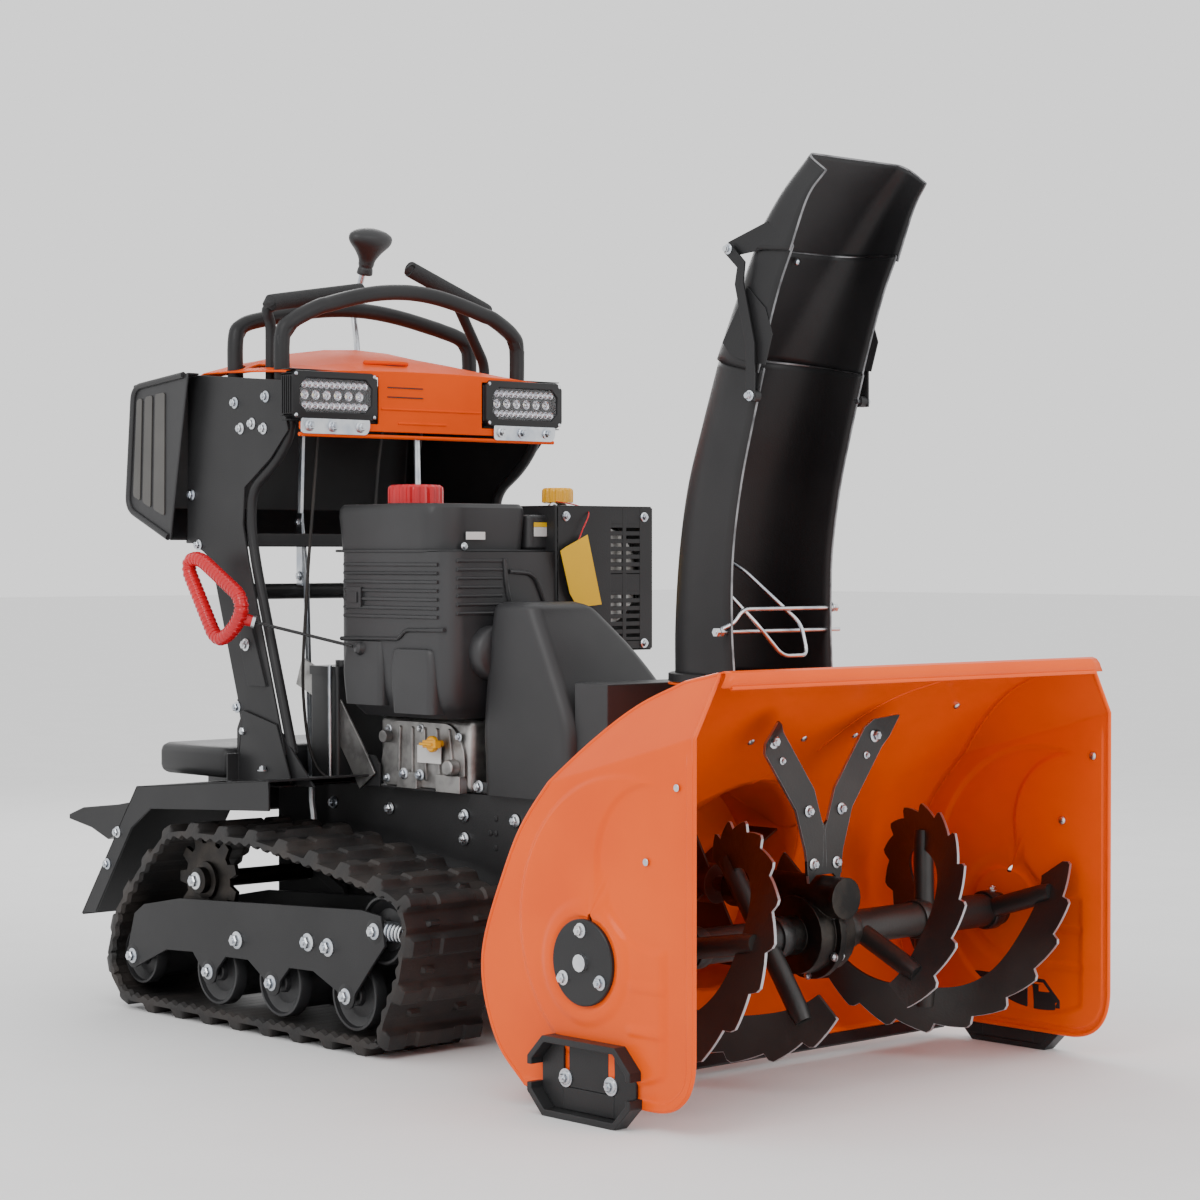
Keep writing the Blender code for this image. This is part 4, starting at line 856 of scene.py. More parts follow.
hood_rows = [(0.3818, -0.140, 0.140, 0.560, 0.760), (0.440, -0.141, 0.139, 0.556, 0.762),
             (0.500, -0.142, 0.110, 0.560, 0.762), (0.590, -0.142, 0.060, 0.600, 0.752),
             (0.655, -0.142, 0.008, 0.632, 0.742), (0.672, -0.140, -0.012, 0.640, 0.738),
             (0.679, -0.130, -0.030, 0.652, 0.730)]
hood = piece("belt_hood", [lofted(hood_rows, 0.022)], "chassis", moulding, sharp=50)
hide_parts("belt_cover")
skirt = [box((-0.1265, 0.490, 0.3820), (-0.1235, 0.800, 0.4000)),
         box((-0.1265, 0.490, 0.3815), (0.1265, 0.562, 0.5600))]
piece("belt_hood_flange", skirt, "chassis", moulding, round_edge=0.002)
for y, z in ((1.147, 0.345), (1.000, 0.345), (0.815, 0.345), (0.695, 0.345), (0.815, 0.309), (0.600, 0.345),
             (0.780, 0.392), (0.640, 0.392)):
    for side in (-1, 1):
        bolts += hexbolt((side * 0.1266, y, z), (side, 0, 0), 0.013)
dark_holes = rivets([(-0.1262, y, z) for y, z in ((0.755, 0.322), (0.742, 0.345), (0.742, 0.322),
                                                  (0.742, 0.300))], (-1, 0, 0), 0.0045, 0.0006)
piece("frame_hole_plugs", dark_holes, "chassis", black)

# Deck brackets and the pale curved struts that tie the uprights to the deck.
strut_line = bent([(-0.190, 1.205, 0.560), (-0.190, 1.140, 0.535), (-0.185, 1.055, 0.430),
                   (-0.180, 1.025, 0.388)],
                  0.06, 8)[:, 1:]
for side, tag in SIDES:
    x0, x1 = sorted((side * 0.1500, side * 0.1535))
    piece("deck_strut_" + tag, [block(strip(strut_line, 0.024), "x", x0, x1)], "chassis", cast,
          round_edge=0.0008)
deck_tabs = [block([(1.000, 0.3806), (1.075, 0.3806), (1.075, 0.415), (1.060, 0.430), (1.015, 0.430),
                    (1.000, 0.415)], "x", *sorted((side * 0.1440, side * 0.1480))) for side in (-1, 1)]
deck_tabs += [box((-0.150, 0.860, 0.3806), (-0.100, 0.990, 0.3836)),
              box((0.100, 0.860, 0.3806), (0.150, 0.990, 0.3836))]
piece("deck_brackets", deck_tabs, "chassis", black, round_edge=0.0008)
for y in (0.895, 0.935):
    bolts += hexbolt((-0.1500, y, 0.405), (-1, 0, 0), 0.012)

# ---------------------------------------------------------------- engine
# A flat single: cast crankcase with a head on the far side, moulded blower shroud with
# a recoil starter behind, fuel tank on top and a sheet guard over the muffler.
dressed("engine_block", cast, 0.004)
flange = bent([(0.800, 0.384), (1.010, 0.384), (1.005, 0.430), (0.985, 0.488), (0.830, 0.488),
               (0.800, 0.450)], 0.02, 5, closed=True)
ribs = [block(flange, "x", -0.1400, -0.1340)]
ribs += [block(bent([(0.820 + k * 0.034, 0.396), (0.826 + k * 0.034, 0.396), (0.838 + k * 0.030, 0.480),
                     (0.832 + k * 0.030, 0.480)], 0.002, 2, closed=True), "x", -0.1440, -0.1395)
         for k in range(5)]
ribs += [box((-0.1500, 0.800, 0.3805), (-0.1340, 0.858, 0.408)),
         box((-0.1500, 0.905, 0.3805), (-0.1340, 0.955, 0.408)),
         turned([(0, 0), (0.013, 0), (0.013, 0.016), (0.010, 0.018), (0, 0.018)], (-0.1400, 0.822, 0.420),
                (-1, 0, 0), 24), short_rod(0.010, 0.014, (-0.1400, 0.985, 0.462), (-1, 0, 0), 20)]
piece("crankcase_side", ribs, "chassis", cast, round_edge=0.0012)
for y, z in ((0.985, 0.474), (0.812, 0.468), (0.815, 0.395), (0.990, 0.395), (0.905, 0.478)):
    bolts += hexbolt((-0.1402, y, z), (-1, 0, 0), 0.009)
plate_white = painted("blank_white_label", colour(0.75, 0.75, 0.74), colour(0.62, 0.62, 0.61), 0.4, 0.00005)
label_yellow = painted("blank_yellow_label", colour(0.90, 0.55, 0.01), colour(0.80, 0.46, 0.01), 0.38,
                       0.00005)
piece("crankcase_plate", [box((-0.1460, 0.850, 0.424), (-0.1440, 0.908, 0.452))], "chassis", plate_white,
      round_edge=0.0008)

# Blower shroud: lofted box with rounded corners, cooling ribs, snap lip and round bosses.
shroud_rows = [(0.4970, -0.176, 0.104, 0.790, 1.020), (0.520, -0.190, 0.112, 0.772, 1.036),
               (0.560, -0.199, 0.117, 0.764, 1.0445), (0.640, -0.2005, 0.118, 0.763, 1.045),
               (0.745, -0.2005, 0.118, 0.763, 1.045), (0.7565, -0.2005, 0.118, 0.763, 1.045)]
shroud_shapes = [lofted(shroud_rows, 0.030)]
for k in range(7):
    z = 0.736 - k * 0.0135
    shroud_shapes.append(tube(bent([(-0.2012, 0.790, z), (-0.2012, 1.022, z)], 0.01), 0.0028, 8,
                              up=(0, 0, 1)))
shroud_shapes += [tube(np.array([(-0.185 + 0.030 * t, 0.7632, 0.742 - 0.0135 * k) for t in (0, 1, 2, 3)]),
                       0.0026, 8, up=(0, 0, 1)) for k in range(7)]
shroud_shapes += [
    turned([(0, 0), (0.042, 0), (0.042, 0.020), (0.036, 0.027), (0.020, 0.029), (0, 0.029)],
           (-0.120, 0.765, 0.600), (0, -1, 0), 40),
    turned([(0, 0), (0.024, 0), (0.024, 0.014), (0.019, 0.019), (0, 0.020)], (-0.055, 0.765, 0.600),
           (0, -1, 0), 32),
    lofted([(0.505, -0.206, -0.150, 0.800, 0.900), (0.560, -0.208, -0.150, 0.796, 0.905),
            (0.600, -0.2075, -0.150, 0.800, 0.900), (0.606, -0.2040, -0.160, 0.810, 0.890)], 0.014),
    lofted([(0.515, -0.2045, -0.150, 0.925, 1.020), (0.570, -0.2065, -0.150, 0.922, 1.025),
            (0.615, -0.2045, -0.150, 0.926, 1.020)], 0.012),
    box((-0.2055, 0.975, 0.668), (-0.1990, 1.012, 0.700)),
    box((-0.2075, 0.983, 0.676), (-0.2050, 1.004, 0.692)),
    tube(bent([(-0.2012, 0.775, 0.636), (-0.2012, 0.870, 0.634), (-0.2012, 0.885, 0.620),
               (-0.2012, 1.030, 0.618)],
              0.01), 0.0034, 8, up=(0, 0, 1)),
    tube(bent([(-0.090, 0.7625, 0.745), (-0.085, 0.7625, 0.690), (-0.040, 0.7625, 0.600),
               (-0.035, 0.7625, 0.540)],
              0.03), 0.0040, 8, up=(0, 1, 0)),
    tube(bent([(-0.080, 0.7625, 0.725), (-0.030, 0.7625, 0.722), (0.000, 0.7625, 0.660)], 0.02), 0.0036, 8,
         up=(0, 1, 0))]
shroud = piece("blower_shroud", shroud_shapes, "chassis", moulding, sharp=45)
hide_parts("engine_shroud")
recoil = [turned([(0.0, 0), (0.108, 0), (0.108, 0.028), (0.100, 0.040), (0.060, 0.0425), (0, 0.0425)],
                 (-0.020, 1.044, 0.640), (0, 1, 0), 64)]
for k in range(16):
    a = k * np.pi / 8
    line = np.array([(-0.020 + r * np.cos(a), 1.087, 0.640 + r * np.sin(a)) for r in (0.032, 0.090)])
    recoil.append(tube(line, 0.0030, 8, up=(0, 1, 0)))
piece("recoil_starter", recoil, "chassis", moulding, sharp=40)
ferrule = turned([(0, 0), (0.012, 0), (0.010, 0.010), (0.006, 0.014), (0, 0.014)], (-0.2000, 0.975, 0.6030),
                 (-1, 0.3, 0.08), 24)
piece("rope_ferrule", [ferrule], "chassis", moulding)

# Fuel tank: faceted front corner, pressed seam lip and a filler boss under the cap.
tank_outline = bent([(-0.2000, 0.815), (-0.165, 0.786), (-0.018, 0.786), (-0.018, 1.050), (-0.200, 1.050)],
                    0.022, 6, closed=True)
wide = bent([(-0.2035, 0.812), (-0.167, 0.7825), (0.098, 0.7825), (0.118, 0.800), (0.118, 1.050),
             (-0.2035, 1.0535)], 0.020, 6, closed=True)
middle = tank_outline.mean(0)
tank_rows = np.stack([np.column_stack([0.96 * (tank_outline - middle) * k + middle,
                                       np.full(len(tank_outline), z)])
                      for k, z in ((1.0, 0.7565), (1.02, 0.790), (1.035, 0.812), (1.03, 0.824),
                                   (0.985, 0.8305))])
tank_shapes = [net(tank_rows, wrap_v=True, cap=True), block(wide, "z", 0.7550, 0.7592),
               turned([(0, 0), (0.047, 0), (0.045, 0.006), (0, 0.006)], (-0.130, 0.930, 0.8265), (0, 0, 1),
                      40)]
deck = [(-0.020, 0.784), (0.116, 0.784), (0.116, 1.046), (-0.020, 1.046)]
cowl = block(bent(deck, 0.018, 6, closed=True), "z", 0.7592, 0.8140)
tank = piece("fuel_tank_body", tank_shapes, "chassis", moulding, round_edge=0.0015)
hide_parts("fuel_tank")
piece("engine_cowl", [cowl], "chassis", moulding, round_edge=0.005)
labels = [(box((-0.150, 0.7822, 0.7745), (-0.112, 0.7840, 0.7865)), plate_white, "tank_label_white"),
          (box((-0.010, 0.7822, 0.7950), (0.052, 0.7840, 0.8020)), label_yellow, "cowl_label_yellow"),
          (box((-0.010, 0.7822, 0.7800), (0.052, 0.7840, 0.7946)), plate_white, "cowl_label_white")]
for shape, finish, name in labels:
    piece(name, [shape], "chassis", finish, round_edge=0.0003)
bolts += hexbolt((-0.155, 0.7822, 0.7640), (0, -1, 0), 0.008)
eye_angle = np.linspace(0, 2 * np.pi, 24, endpoint=False)
eye = np.column_stack([0.046 + 0.0075 * np.cos(eye_angle), 0 * eye_angle + 0.800,
                       0.8230 + 0.0085 * np.sin(eye_angle)])
piece("lifting_eye", [tube(eye, 0.0026, 10, up=(0, 1, 0), closed=True)], "chassis", zinc)


def ribbed_cap(centre, radius, height, count, depth, base):
    """A turned cap whose side wall waves: radius (1 + depth cos(count a)) between its two rims."""
    a = np.linspace(0, 2 * np.pi, count * 8, endpoint=False)
    wave = depth * np.clip(np.cos(count * a) * 2.0, -1, 1)
    rows = [(0.86, 0.00, 0), (1.0, 0.06, 1), (1.0, 0.70, 1), (0.985, 0.86, 1), (0.90, 0.97, 0.2),
            (0.55, 1.0, 0), (0.50, 0.94, 0), (0.0001, 0.94, 0)]
    points = [np.column_stack([centre[0] + radius * (k + w * wave) * np.cos(a),
                               centre[1] + radius * (k + w * wave) * np.sin(a),
                               np.full(len(a), base + height * h)])
              for k, h, w in rows]
    return net(np.stack(points), wrap_v=True, cap=True)


red = painted("gloss_red_plastic", colour(0.62, 0.008, 0.016), colour(0.50, 0.005, 0.012), 0.22, 0.00006, 0.4)
yellow = painted("gloss_yellow_plastic", colour(0.86, 0.42, 0.012), colour(0.78, 0.35, 0.010), 0.28, 0.00008,
                 0.3)
cap = piece("fuel_cap_body", [ribbed_cap((-0.130, 0.930), 0.0428, 0.0318, 20, 0.030, 0.8305)], "fuel_cap",
            red)
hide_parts("fuel_cap")
plug = piece("oil_cap_body", [ribbed_cap((0.150, 0.905), 0.0249, 0.0258, 16, 0.035, 0.8353)], "oil_cap",
             yellow)
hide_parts("oil_cap")
dressed("dipstick", yellow, 0.0012)
grip_wing = [box((-0.1690, 0.846, 0.4535), (-0.1600, 0.876, 0.4580)),
             turned([(0, 0), (0.0130, 0), (0.0130, 0.006), (0.0105, 0.008), (0, 0.008)],
                    (-0.1555, 0.855, 0.456), (-1, 0, 0), 28)]
piece("dipstick_wing", grip_wing, "dipstick", yellow, round_edge=0.0012)

# Muffler guard: a folded sheet box whose face has long slots in two groups, upper and lower, over
# the bright muffler.
steel_grey = metal("muffler_steel", colour(0.46, 0.45, 0.44), colour(0.30, 0.28, 0.26), 0.36, 0.0003)
bars = [box((0.018, 0.7580, z - 0.0035), (0.224, 0.7610, z + 0.0035))
        for z in [0.798 - 0.0125 * k for k in range(7)] + [0.690 - 0.0125 * k for k in range(7)]]
frame_face = [box((0.018, 0.7580, 0.800), (0.224, 0.7610, 0.8265)),
              box((0.018, 0.7580, 0.692), (0.224, 0.7610, 0.722)),
              box((0.018, 0.7580, 0.600), (0.224, 0.7610, 0.614)),
              box((0.018, 0.7575, 0.600), (0.132, 0.7612, 0.8265)),
              box((0.158, 0.7576, 0.600), (0.166, 0.7612, 0.8265)),
              box((0.196, 0.7575, 0.600), (0.224, 0.7612, 0.8265))]
walls = bent([(0.016, 0.860), (0.016, 0.7578), (0.226, 0.7578), (0.226, 0.860)], 0.010, 6)
guard_shapes = [block(walls, "z", 0.8262, 0.8290), block(walls, "z", 0.5972, 0.5990)]
side_walls = [box((0.016, 0.766, 0.598), (0.0185, 0.860, 0.828)),
              box((0.2235, 0.766, 0.598), (0.226, 0.860, 0.828))]
corner_posts = [tube([(x, 0.7655, 0.598), (x, 0.7655, 0.828)], 0.0078, 20) for x in (0.0238, 0.2182)]
guard = piece("muffler_guard_box", bars + frame_face + guard_shapes + side_walls + corner_posts, "chassis",
              black, round_edge=0.0006)
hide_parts("muffler_guard")
can = turned([(0, 0), (0.080, 0), (0.088, 0.006), (0.088, 0.050), (0.080, 0.056), (0, 0.056)],
             (0.121, 0.8260, 0.716), (0, -1, 0), 48)
piece("muffler_can", [can], "chassis", steel_grey)
for x, z in ((0.205, 0.608), (0.205, 0.812), (0.034, 0.812)):
    bolts += hexbolt((x, 0.7574, z), (0, -1, 0), 0.010)

# Battery box behind the shroud: a tall moulded case with a lid and a bright hold-down rod.
battery = [lofted([(0.384, -0.160, -0.060, 1.094, 1.166), (0.440, -0.160, -0.060, 1.094, 1.166),
                   (0.556, -0.160, -0.060, 1.094, 1.166)], 0.006),
           lofted([(0.556, -0.163, -0.057, 1.091, 1.169), (0.563, -0.163, -0.057, 1.091, 1.169),
                   (0.570, -0.163, -0.057, 1.091, 1.169)], 0.007),
           short_rod(0.012, 0.010, (-0.140, 1.105, 0.570), (0, 0, 1), 20)]
piece("battery_case", battery, "chassis", moulding, sharp=45)
piece("battery_rod", [tube([(-0.1665, 1.105, 0.390), (-0.1665, 1.105, 0.572)], 0.0030, 12)], "chassis", zinc)

# Hang tag: stiff card on a thin red string from the oil cap's neck, both at rest against the guard.
tag_string = curve([(0.132, 0.8890, 0.8380), (0.110, 0.810, 0.8300), (0.082, 0.7560, 0.8180),
                    (0.062, 0.7490, 0.790), (0.050, 0.7480, 0.768)], 8)
piece("tag_string", [tube(tag_string, 0.0011, 8, up=(0.3, 0, 1))], "chassis", red)
tag = block([(0.0135, 0.757), (0.0240, 0.763), (0.0715, 0.783), (0.1020, 0.672), (0.0500, 0.668),
             (0.0335, 0.690)], "y", 0.7470, 0.7480)
piece("blank_hang_tag", [tag], "chassis", label_yellow, round_edge=0.0002)

# ---------------------------------------------------------------- tracks
# Each track is one moulded rubber loop with cleats across it, driven by a toothed plate
# sprocket and carried by dished wheels between two steel beam plates.
TRACK_LINE = [(0.751, 0.0), (1.396, 0.0), (1.436, 0.014), (1.464, 0.043), (1.477, 0.089), (1.450, 0.169),
              (1.385, 0.240), (1.312, 0.303), (1.285, 0.315), (1.252, 0.320), (1.061, 0.320), (0.983, 0.310),
              (0.820, 0.285), (0.712, 0.264), (0.676, 0.247), (0.659, 0.202), (0.678, 0.119), (0.715, 0.052),
              (0.728, 0.012)]
CLEATS = 25
TRACK_IN, TRACK_OUT = 0.163, 0.358        # edges of the belts from the middle plane
SPROCKET = (1.220, 0.227)


def track_loop(x_in, x_out):
    """A closed belt path; outwards it carries cleats: height 14 mm times a trapezoid wave of the
    length, with small nubs between cleats and a scalloped lip along both edges."""
    path, at = walked(np.array(TRACK_LINE), CLEATS * 32)
    for _ in range(6):
        path = 0.25 * np.roll(path, 1, 0) + 0.5 * path + 0.25 * np.roll(path, -1, 0)
    run = np.roll(path, -1, 0) - np.roll(path, 1, 0)
    run /= np.linalg.norm(run, axis=1)[:, None]
    out = np.column_stack([run[:, 1], -run[:, 0]])
    phase = np.mod(at * CLEATS, 1.0)
    cleat = smooth(0.26, 0.36, phase) * smooth(0.74, 0.64, phase)
    mid = 0.5 * (x_in + x_out)
    half = abs(x_out - x_in) / 2
    across = np.array([-1.0, -0.995, -0.965, -0.93, -0.60, -0.56, -0.38, -0.34, -0.04, 0.04, 0.34, 0.38, 0.56,
                       0.60, 0.93, 0.965, 0.995, 1.0])
    bar = np.array([0, 0.1, 0.75, 1, 1, 0.72, 0.72, 1, 1, 1, 1, 0.72, 0.72, 1, 1, 0.75, 0.1, 0])
    nub = np.array([0, 0, 0, 0, 0, 1, 1, 0, 0, 0, 0, 1, 1, 0, 0, 0, 0, 0])
    small = smooth(0.90, 0.97, phase) + smooth(0.10, 0.03, phase)
    rise = -0.0145 + 0.0143 * cleat[:, None] * bar + 0.0065 * small[:, None] * nub
    outer = np.concatenate([np.broadcast_to(mid + across * half, (len(at), len(across)))[..., None],
                            path[:, None] + rise[..., None] * out[:, None]], -1)
    lip = 0.0025 * np.cos(2 * np.pi * phase * 3)
    levels = [(1.0, -0.0235, 1), (0.93, -0.0265, 1), (0.90, -0.0230, 0), (-0.90, -0.0230, 0),
              (-0.93, -0.0265, 1), (-1.0, -0.0235, 1)]
    inner = np.stack([np.concatenate([np.full((len(at), 1), mid + a * half),
                                      path + (h - w * lip)[:, None] * out], 1)
                      for a, h, w in levels], 1)
    return net(np.concatenate([outer, inner], 1), wrap_u=True, wrap_v=True)


WHEELS = {"rear_idler": (1.396, 0.089, 0.048), "roller_rear": (1.181, 0.085, 0.055),
          "roller_middle": (1.013, 0.085, 0.055), "roller_front": (0.826, 0.085, 0.055),
          "front_idler": (0.757, 0.190, 0.052)}
for side, tag in SIDES:
    loop = piece("rubber_track_" + tag, [track_loop(side * TRACK_IN, side * TRACK_OUT)], "chassis", rubber,
                 sharp=38)
    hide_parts("track_" + tag)
    dressed("track_beam_" + tag, black, 0.0009)
    dressed("sprocket_" + tag, iron, 0.0009)
    hub = [turned([(0, 0), (0.030, 0), (0.030, 0.006), (0.021, 0.008), (0.021, 0.020), (0.016, 0.023),
                   (0, 0.023)], (side * 0.3262, *SPROCKET), (side, 0, 0), 36)]
    piece("sprocket_hub_" + tag, hub, "sprocket_" + tag, iron)
    piece("sprocket_bolt_" + tag, hexbolt((side * 0.3490, *SPROCKET), (side, 0, 0), 0.018), "sprocket_" + tag,
          zinc)
    for name, (y, z, r) in WHEELS.items():
        profile = [(0.0, 0.0), (0.014, 0.0), (0.016, 0.002), (0.017, 0.010), (r * 0.62, 0.014),
                   (r * 0.86, 0.006), (r * 0.90, 0.0), (r * 0.97, 0.0), (r, 0.003), (r, 0.020),
                   (r * 0.80, 0.022), (r * 0.80, 0.135), (r, 0.137), (r, 0.154), (r * 0.97, 0.157),
                   (0.0, 0.157)]
        wheel = piece(f"{name}_wheel_{tag}", [turned(profile, (side * 0.336, y, z), (-side, 0, 0), 48)],
                      f"{name}_{tag}", moulding)
        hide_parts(f"{name}_{tag}")
        bolts += hexbolt((side * 0.3522, y, z), (side, 0, 0), 0.016)
        plate_disc = [(0, 0), (0.020, 0), (0.020, 0.0022), (0.018, 0.003), (0, 0.003)]
        piece(f"{name}_collar_{tag}", [turned(plate_disc, (side * 0.3495, y, z), (side, 0, 0), 32),
                                       tube([(side * 0.337, y, z), (side * 0.350, y, z)], 0.0085, 16,
                                            up=(0, 0, 1))], "chassis", black)
    for y, z in ((1.103, 0.143), (0.919, 0.158), (0.869, 0.155)):
        bolts += hexbolt((side * 0.3522, y, z), (side, 0, 0), 0.018)
    angle = np.linspace(0, 2 * np.pi * 6, 120)
    coil = np.column_stack([side * 0.335 + 0.013 * np.cos(angle), 0.700 + 0.050 * angle / angle[-1],
                            0.1900 + 0.013 * np.sin(angle)])
    piece("track_spring_" + tag, [tube(coil, 0.0024, 8, up=(0, 1, 0))], "chassis", zinc)

# Fenders, foot plates and rear boxes: folded black sheet bolted behind the chassis.
dressed("rear_frame", black, 0.0010)
dressed("rear_box", black, 0.0030)
dressed("foot_pedal", black, 0.0012)
for side in (-1, 1):
    for spot in ((side * 0.3526, 1.470, 0.235), (side * 0.3526, 1.440, 0.290)):
        bolts += hexbolt(spot, (side, 0, 0), 0.012)
    for spot in ((side * 0.283, 1.130, 0.3875), (side * 0.265, 1.280, 0.3875)):
        bolts += hexbolt(np.array(spot) + (0, 0, 0.018), (0, 0, 1), 0.011)
tread = [tube([(-0.230, 1.520 + 0.012 * k, 0.334 - 0.0028 * k),
               (-0.170, 1.520 + 0.012 * k, 0.334 - 0.0028 * k)], 0.0022,
              8, up=(0, 0, 1)) for k in range(5)]
piece("pedal_tread", tread, "pedal", rubber)

# ---------------------------------------------------------------- handle frame and starter handle
# Two plate uprights with a folded front flange carry the dash; two bent tube bars guard
# the levers. The starter handle parks on a small bracket at the operator's right.
dressed("handle_frame", black, 0.0009)
front_edge = [(1.078, 0.434), (1.176, 0.736), (1.190, 0.800), (1.185, 0.858), (1.118, 0.901), (1.078, 0.949),
              (1.090, 1.022)]
for side, tag in SIDES:
    line = bent([(side * 0.2610, y, z) for y, z in front_edge], 0.030, 8)
    flange = tube(line, 0.0085, 14)
    piece("upright_flange_" + tag, [flange], "chassis", black)
    for y, z in ((1.215, 0.997), (1.131, 1.004), (1.199, 0.955), (1.137, 0.953), (1.168, 0.962),
                 (1.336, 0.850), (1.317, 0.767), (1.210, 0.504), (1.190, 0.466)):
        bolts += hexbolt((side * 0.2744, y, z), (side, 0, 0), 0.012)


def guard_bar(x, y, low, bend, shoulder, top, bow):
    """Up one leg, over the shoulder and along a sine crown to the middle, then mirrored."""
    i = np.linspace(0, 1, 9)[1:, None]
    crown = np.column_stack([(x - 0.060) * (1 - i), 0 * i + y - bow,
                             shoulder + (top - shoulder) * np.sin(np.pi / 2 * i)])
    half = np.vstack([[(x, y, low), (x + 0.002, y, bend), (x - 0.014, y - bow / 2, bend + 0.028),
                       (x - 0.060, y - bow, shoulder)], crown])
    whole = np.vstack([half * (-1, 1, 1), half[:-1][::-1]])
    return tube(curve(whole, 6), 0.0130, 18, up=(0, 1, 0))


bars = [guard_bar(0.248, 1.120, 0.985, 1.098, 1.150, 1.185, 0.012),
        guard_bar(0.248, 1.247, 0.985, 1.098, 1.140, 1.165, -0.004)]
piece("guard_bars", bars, "chassis", satin)

ring_line = [(1.168, 0.6235), (1.190, 0.6150), (1.208, 0.6240), (1.276, 0.7240), (1.2755, 0.7410),
             (1.253, 0.7455), (1.235, 0.7400), (1.138, 0.6870), (1.129, 0.6640), (1.146, 0.6390)]
loop_line, along = walked(bent(ring_line, 0.012, 5, closed=True), 480)
ribs = 0.0114 + 0.0006 * np.clip(3 * np.cos(2 * np.pi * 48 * along), -1, 1)
grip = [tube(np.column_stack([np.full(len(loop_line), -0.3220), loop_line]), ribs, 18, closed=True)]
root = [tube([(-0.3010, 1.129, 0.6445), (-0.3080, 1.134, 0.6470), (-0.3190, 1.142, 0.6510)],
             [0.0085, 0.0100, 0.0120], 20, up=(0, 0, 1))]
handle = piece("starter_handle_loop", grip + root, "pull_handle", red)
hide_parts("pull_handle")
piece("starter_handle_ring",
      [tube([(-0.2990, 1.1275, 0.6438), (-0.3030, 1.1305, 0.6452)], 0.0105, 20, up=(0, 0, 1))],
      "pull_handle", zinc)
bolts += hexbolt((-0.2788, 1.180, 0.606), (-1, 0, 0), 0.013)

# Starter rope: 5 mm braided cord, taut between the recoil ferrule and the handle.
rope_finish = Finish("braided_black_rope")
strand = (rope_finish.axis("Y") * 900.0 + rope_finish.axis("Z") * 1400.0).wave()
rope_finish.give("Base Color", rope_finish.mix(strand.step(-0.6, 0.8), colour(0.010, 0.010, 0.010),
                                               colour(0.040, 0.040, 0.042)))
rope_finish.give("Roughness", strand * 0.1 + 0.7)
rope_finish.bump(strand, 0.0004)
start, end = np.array([-0.2110, 0.9885, 0.6066]), np.array([-0.2995, 1.1275, 0.6438])
line = start + np.linspace(0, 1, 60)[:, None] * (end - start)
rope = piece("starter_rope_cord", [tube(line, 0.0026, 12, up=(0, 0, 1))], None, rope_finish.material)
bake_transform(rope)
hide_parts("starter_rope")

# ---------------------------------------------------------------- dash, lamps and console
# A folded and pressed orange dash with a crowned top; two finned lamps bolt to its front
# on zinc brackets. The moulded console behind has side windows.
deep_orange = painted("dash_orange_paint", colour(0.84, 0.090, 0.004), colour(0.72, 0.070, 0.003), 0.55,
                      0.00012, 0.0, 0.04)
dressed("dash_cover", deep_orange, 0.0010, sharp=14)
drop_angle = np.linspace(0, 2 * np.pi, 48, endpoint=False)
width = 0.017 * (1 + 0.55 * np.cos(drop_angle)) / 1.3
drop = np.column_stack([-0.052 + 0.042 * np.cos(drop_angle), 1.104 + width * np.sin(drop_angle),
                        1.0655 + 0 * drop_angle])
piece("hanger_slot_rim", [tube(drop, 0.0034, 12, up=(0, 0, 1), closed=True)], "chassis", deep_orange)
slot_floor = block(drop[::-1][:, :2], "z", 1.0590, 1.0640)
piece("hanger_slot_floor", [slot_floor], "chassis", black)
lines = [box((-0.092, 1.0474, 1.0215), (-0.018, 1.0486, 1.0232)),
         box((-0.092, 1.0474, 1.0060), (-0.018, 1.0486, 1.0077))]
piece("fascia_lines", lines, "chassis", black)
embosses = [tube([(-0.070, 1.0490, 0.9645), (0.032, 1.0490, 0.9645)], 0.0022, 8, up=(0, 0, 1)),
            tube([(-0.270, 1.0490, 0.9420), (0.270, 1.0490, 0.9420)], 0.0032, 10, up=(0, 0, 1)),
            tube([(-0.105, 1.0485, 0.9870), (0.105, 1.0485, 0.9870)], 0.0018, 8, up=(0, 0, 1))]
piece("fascia_folds", embosses, "chassis", deep_orange)

reflector = Finish("lamp_reflector", Metallic=1.0)
spark = reflector.noise(500.0, 2.0)
reflector.give("Base Color", reflector.mix(spark.step(0.4, 0.7), colour(0.80, 0.80, 0.84),
                                           colour(0.42, 0.42, 0.47)))
reflector.give("Roughness", spark * 0.1 + 0.08)
reflector = reflector.material
chip = Finish("lamp_chip", Emission_Strength=0.35)
glow = chip.noise(60.0)
chip.give("Base Color", chip.mix(glow.step(0.3, 0.7), colour(0.95, 0.85, 0.45), colour(0.9, 0.9, 0.85)))
chip.give("Emission Color", chip.mix(glow.step(0.3, 0.7), colour(0.55, 0.50, 0.30), colour(0.6, 0.6, 0.58)))
chip = chip.material
glass = Finish("lamp_window", Alpha=0.05, Roughness=0.04, Coat_Weight=0.3)
haze = glass.noise(30.0)
glass.give("Base Color", glass.mix(haze.step(0.3, 0.7), colour(0.85, 0.88, 0.92), colour(0.95, 0.95, 0.97)))
glass = glass.material


def octagon(cx, cz, half_x, half_z, cut):
    """Eight corners of a box whose corners are cut off."""
    hx, hz = half_x, half_z
    return np.array([(cx - hx + cut, cz - hz), (cx + hx - cut, cz - hz), (cx + hx, cz - hz + cut),
                     (cx + hx, cz + hz - cut), (cx + hx - cut, cz + hz), (cx - hx + cut, cz + hz),
                     (cx - hx, cz + hz - cut), (cx - hx, cz - hz + cut)])


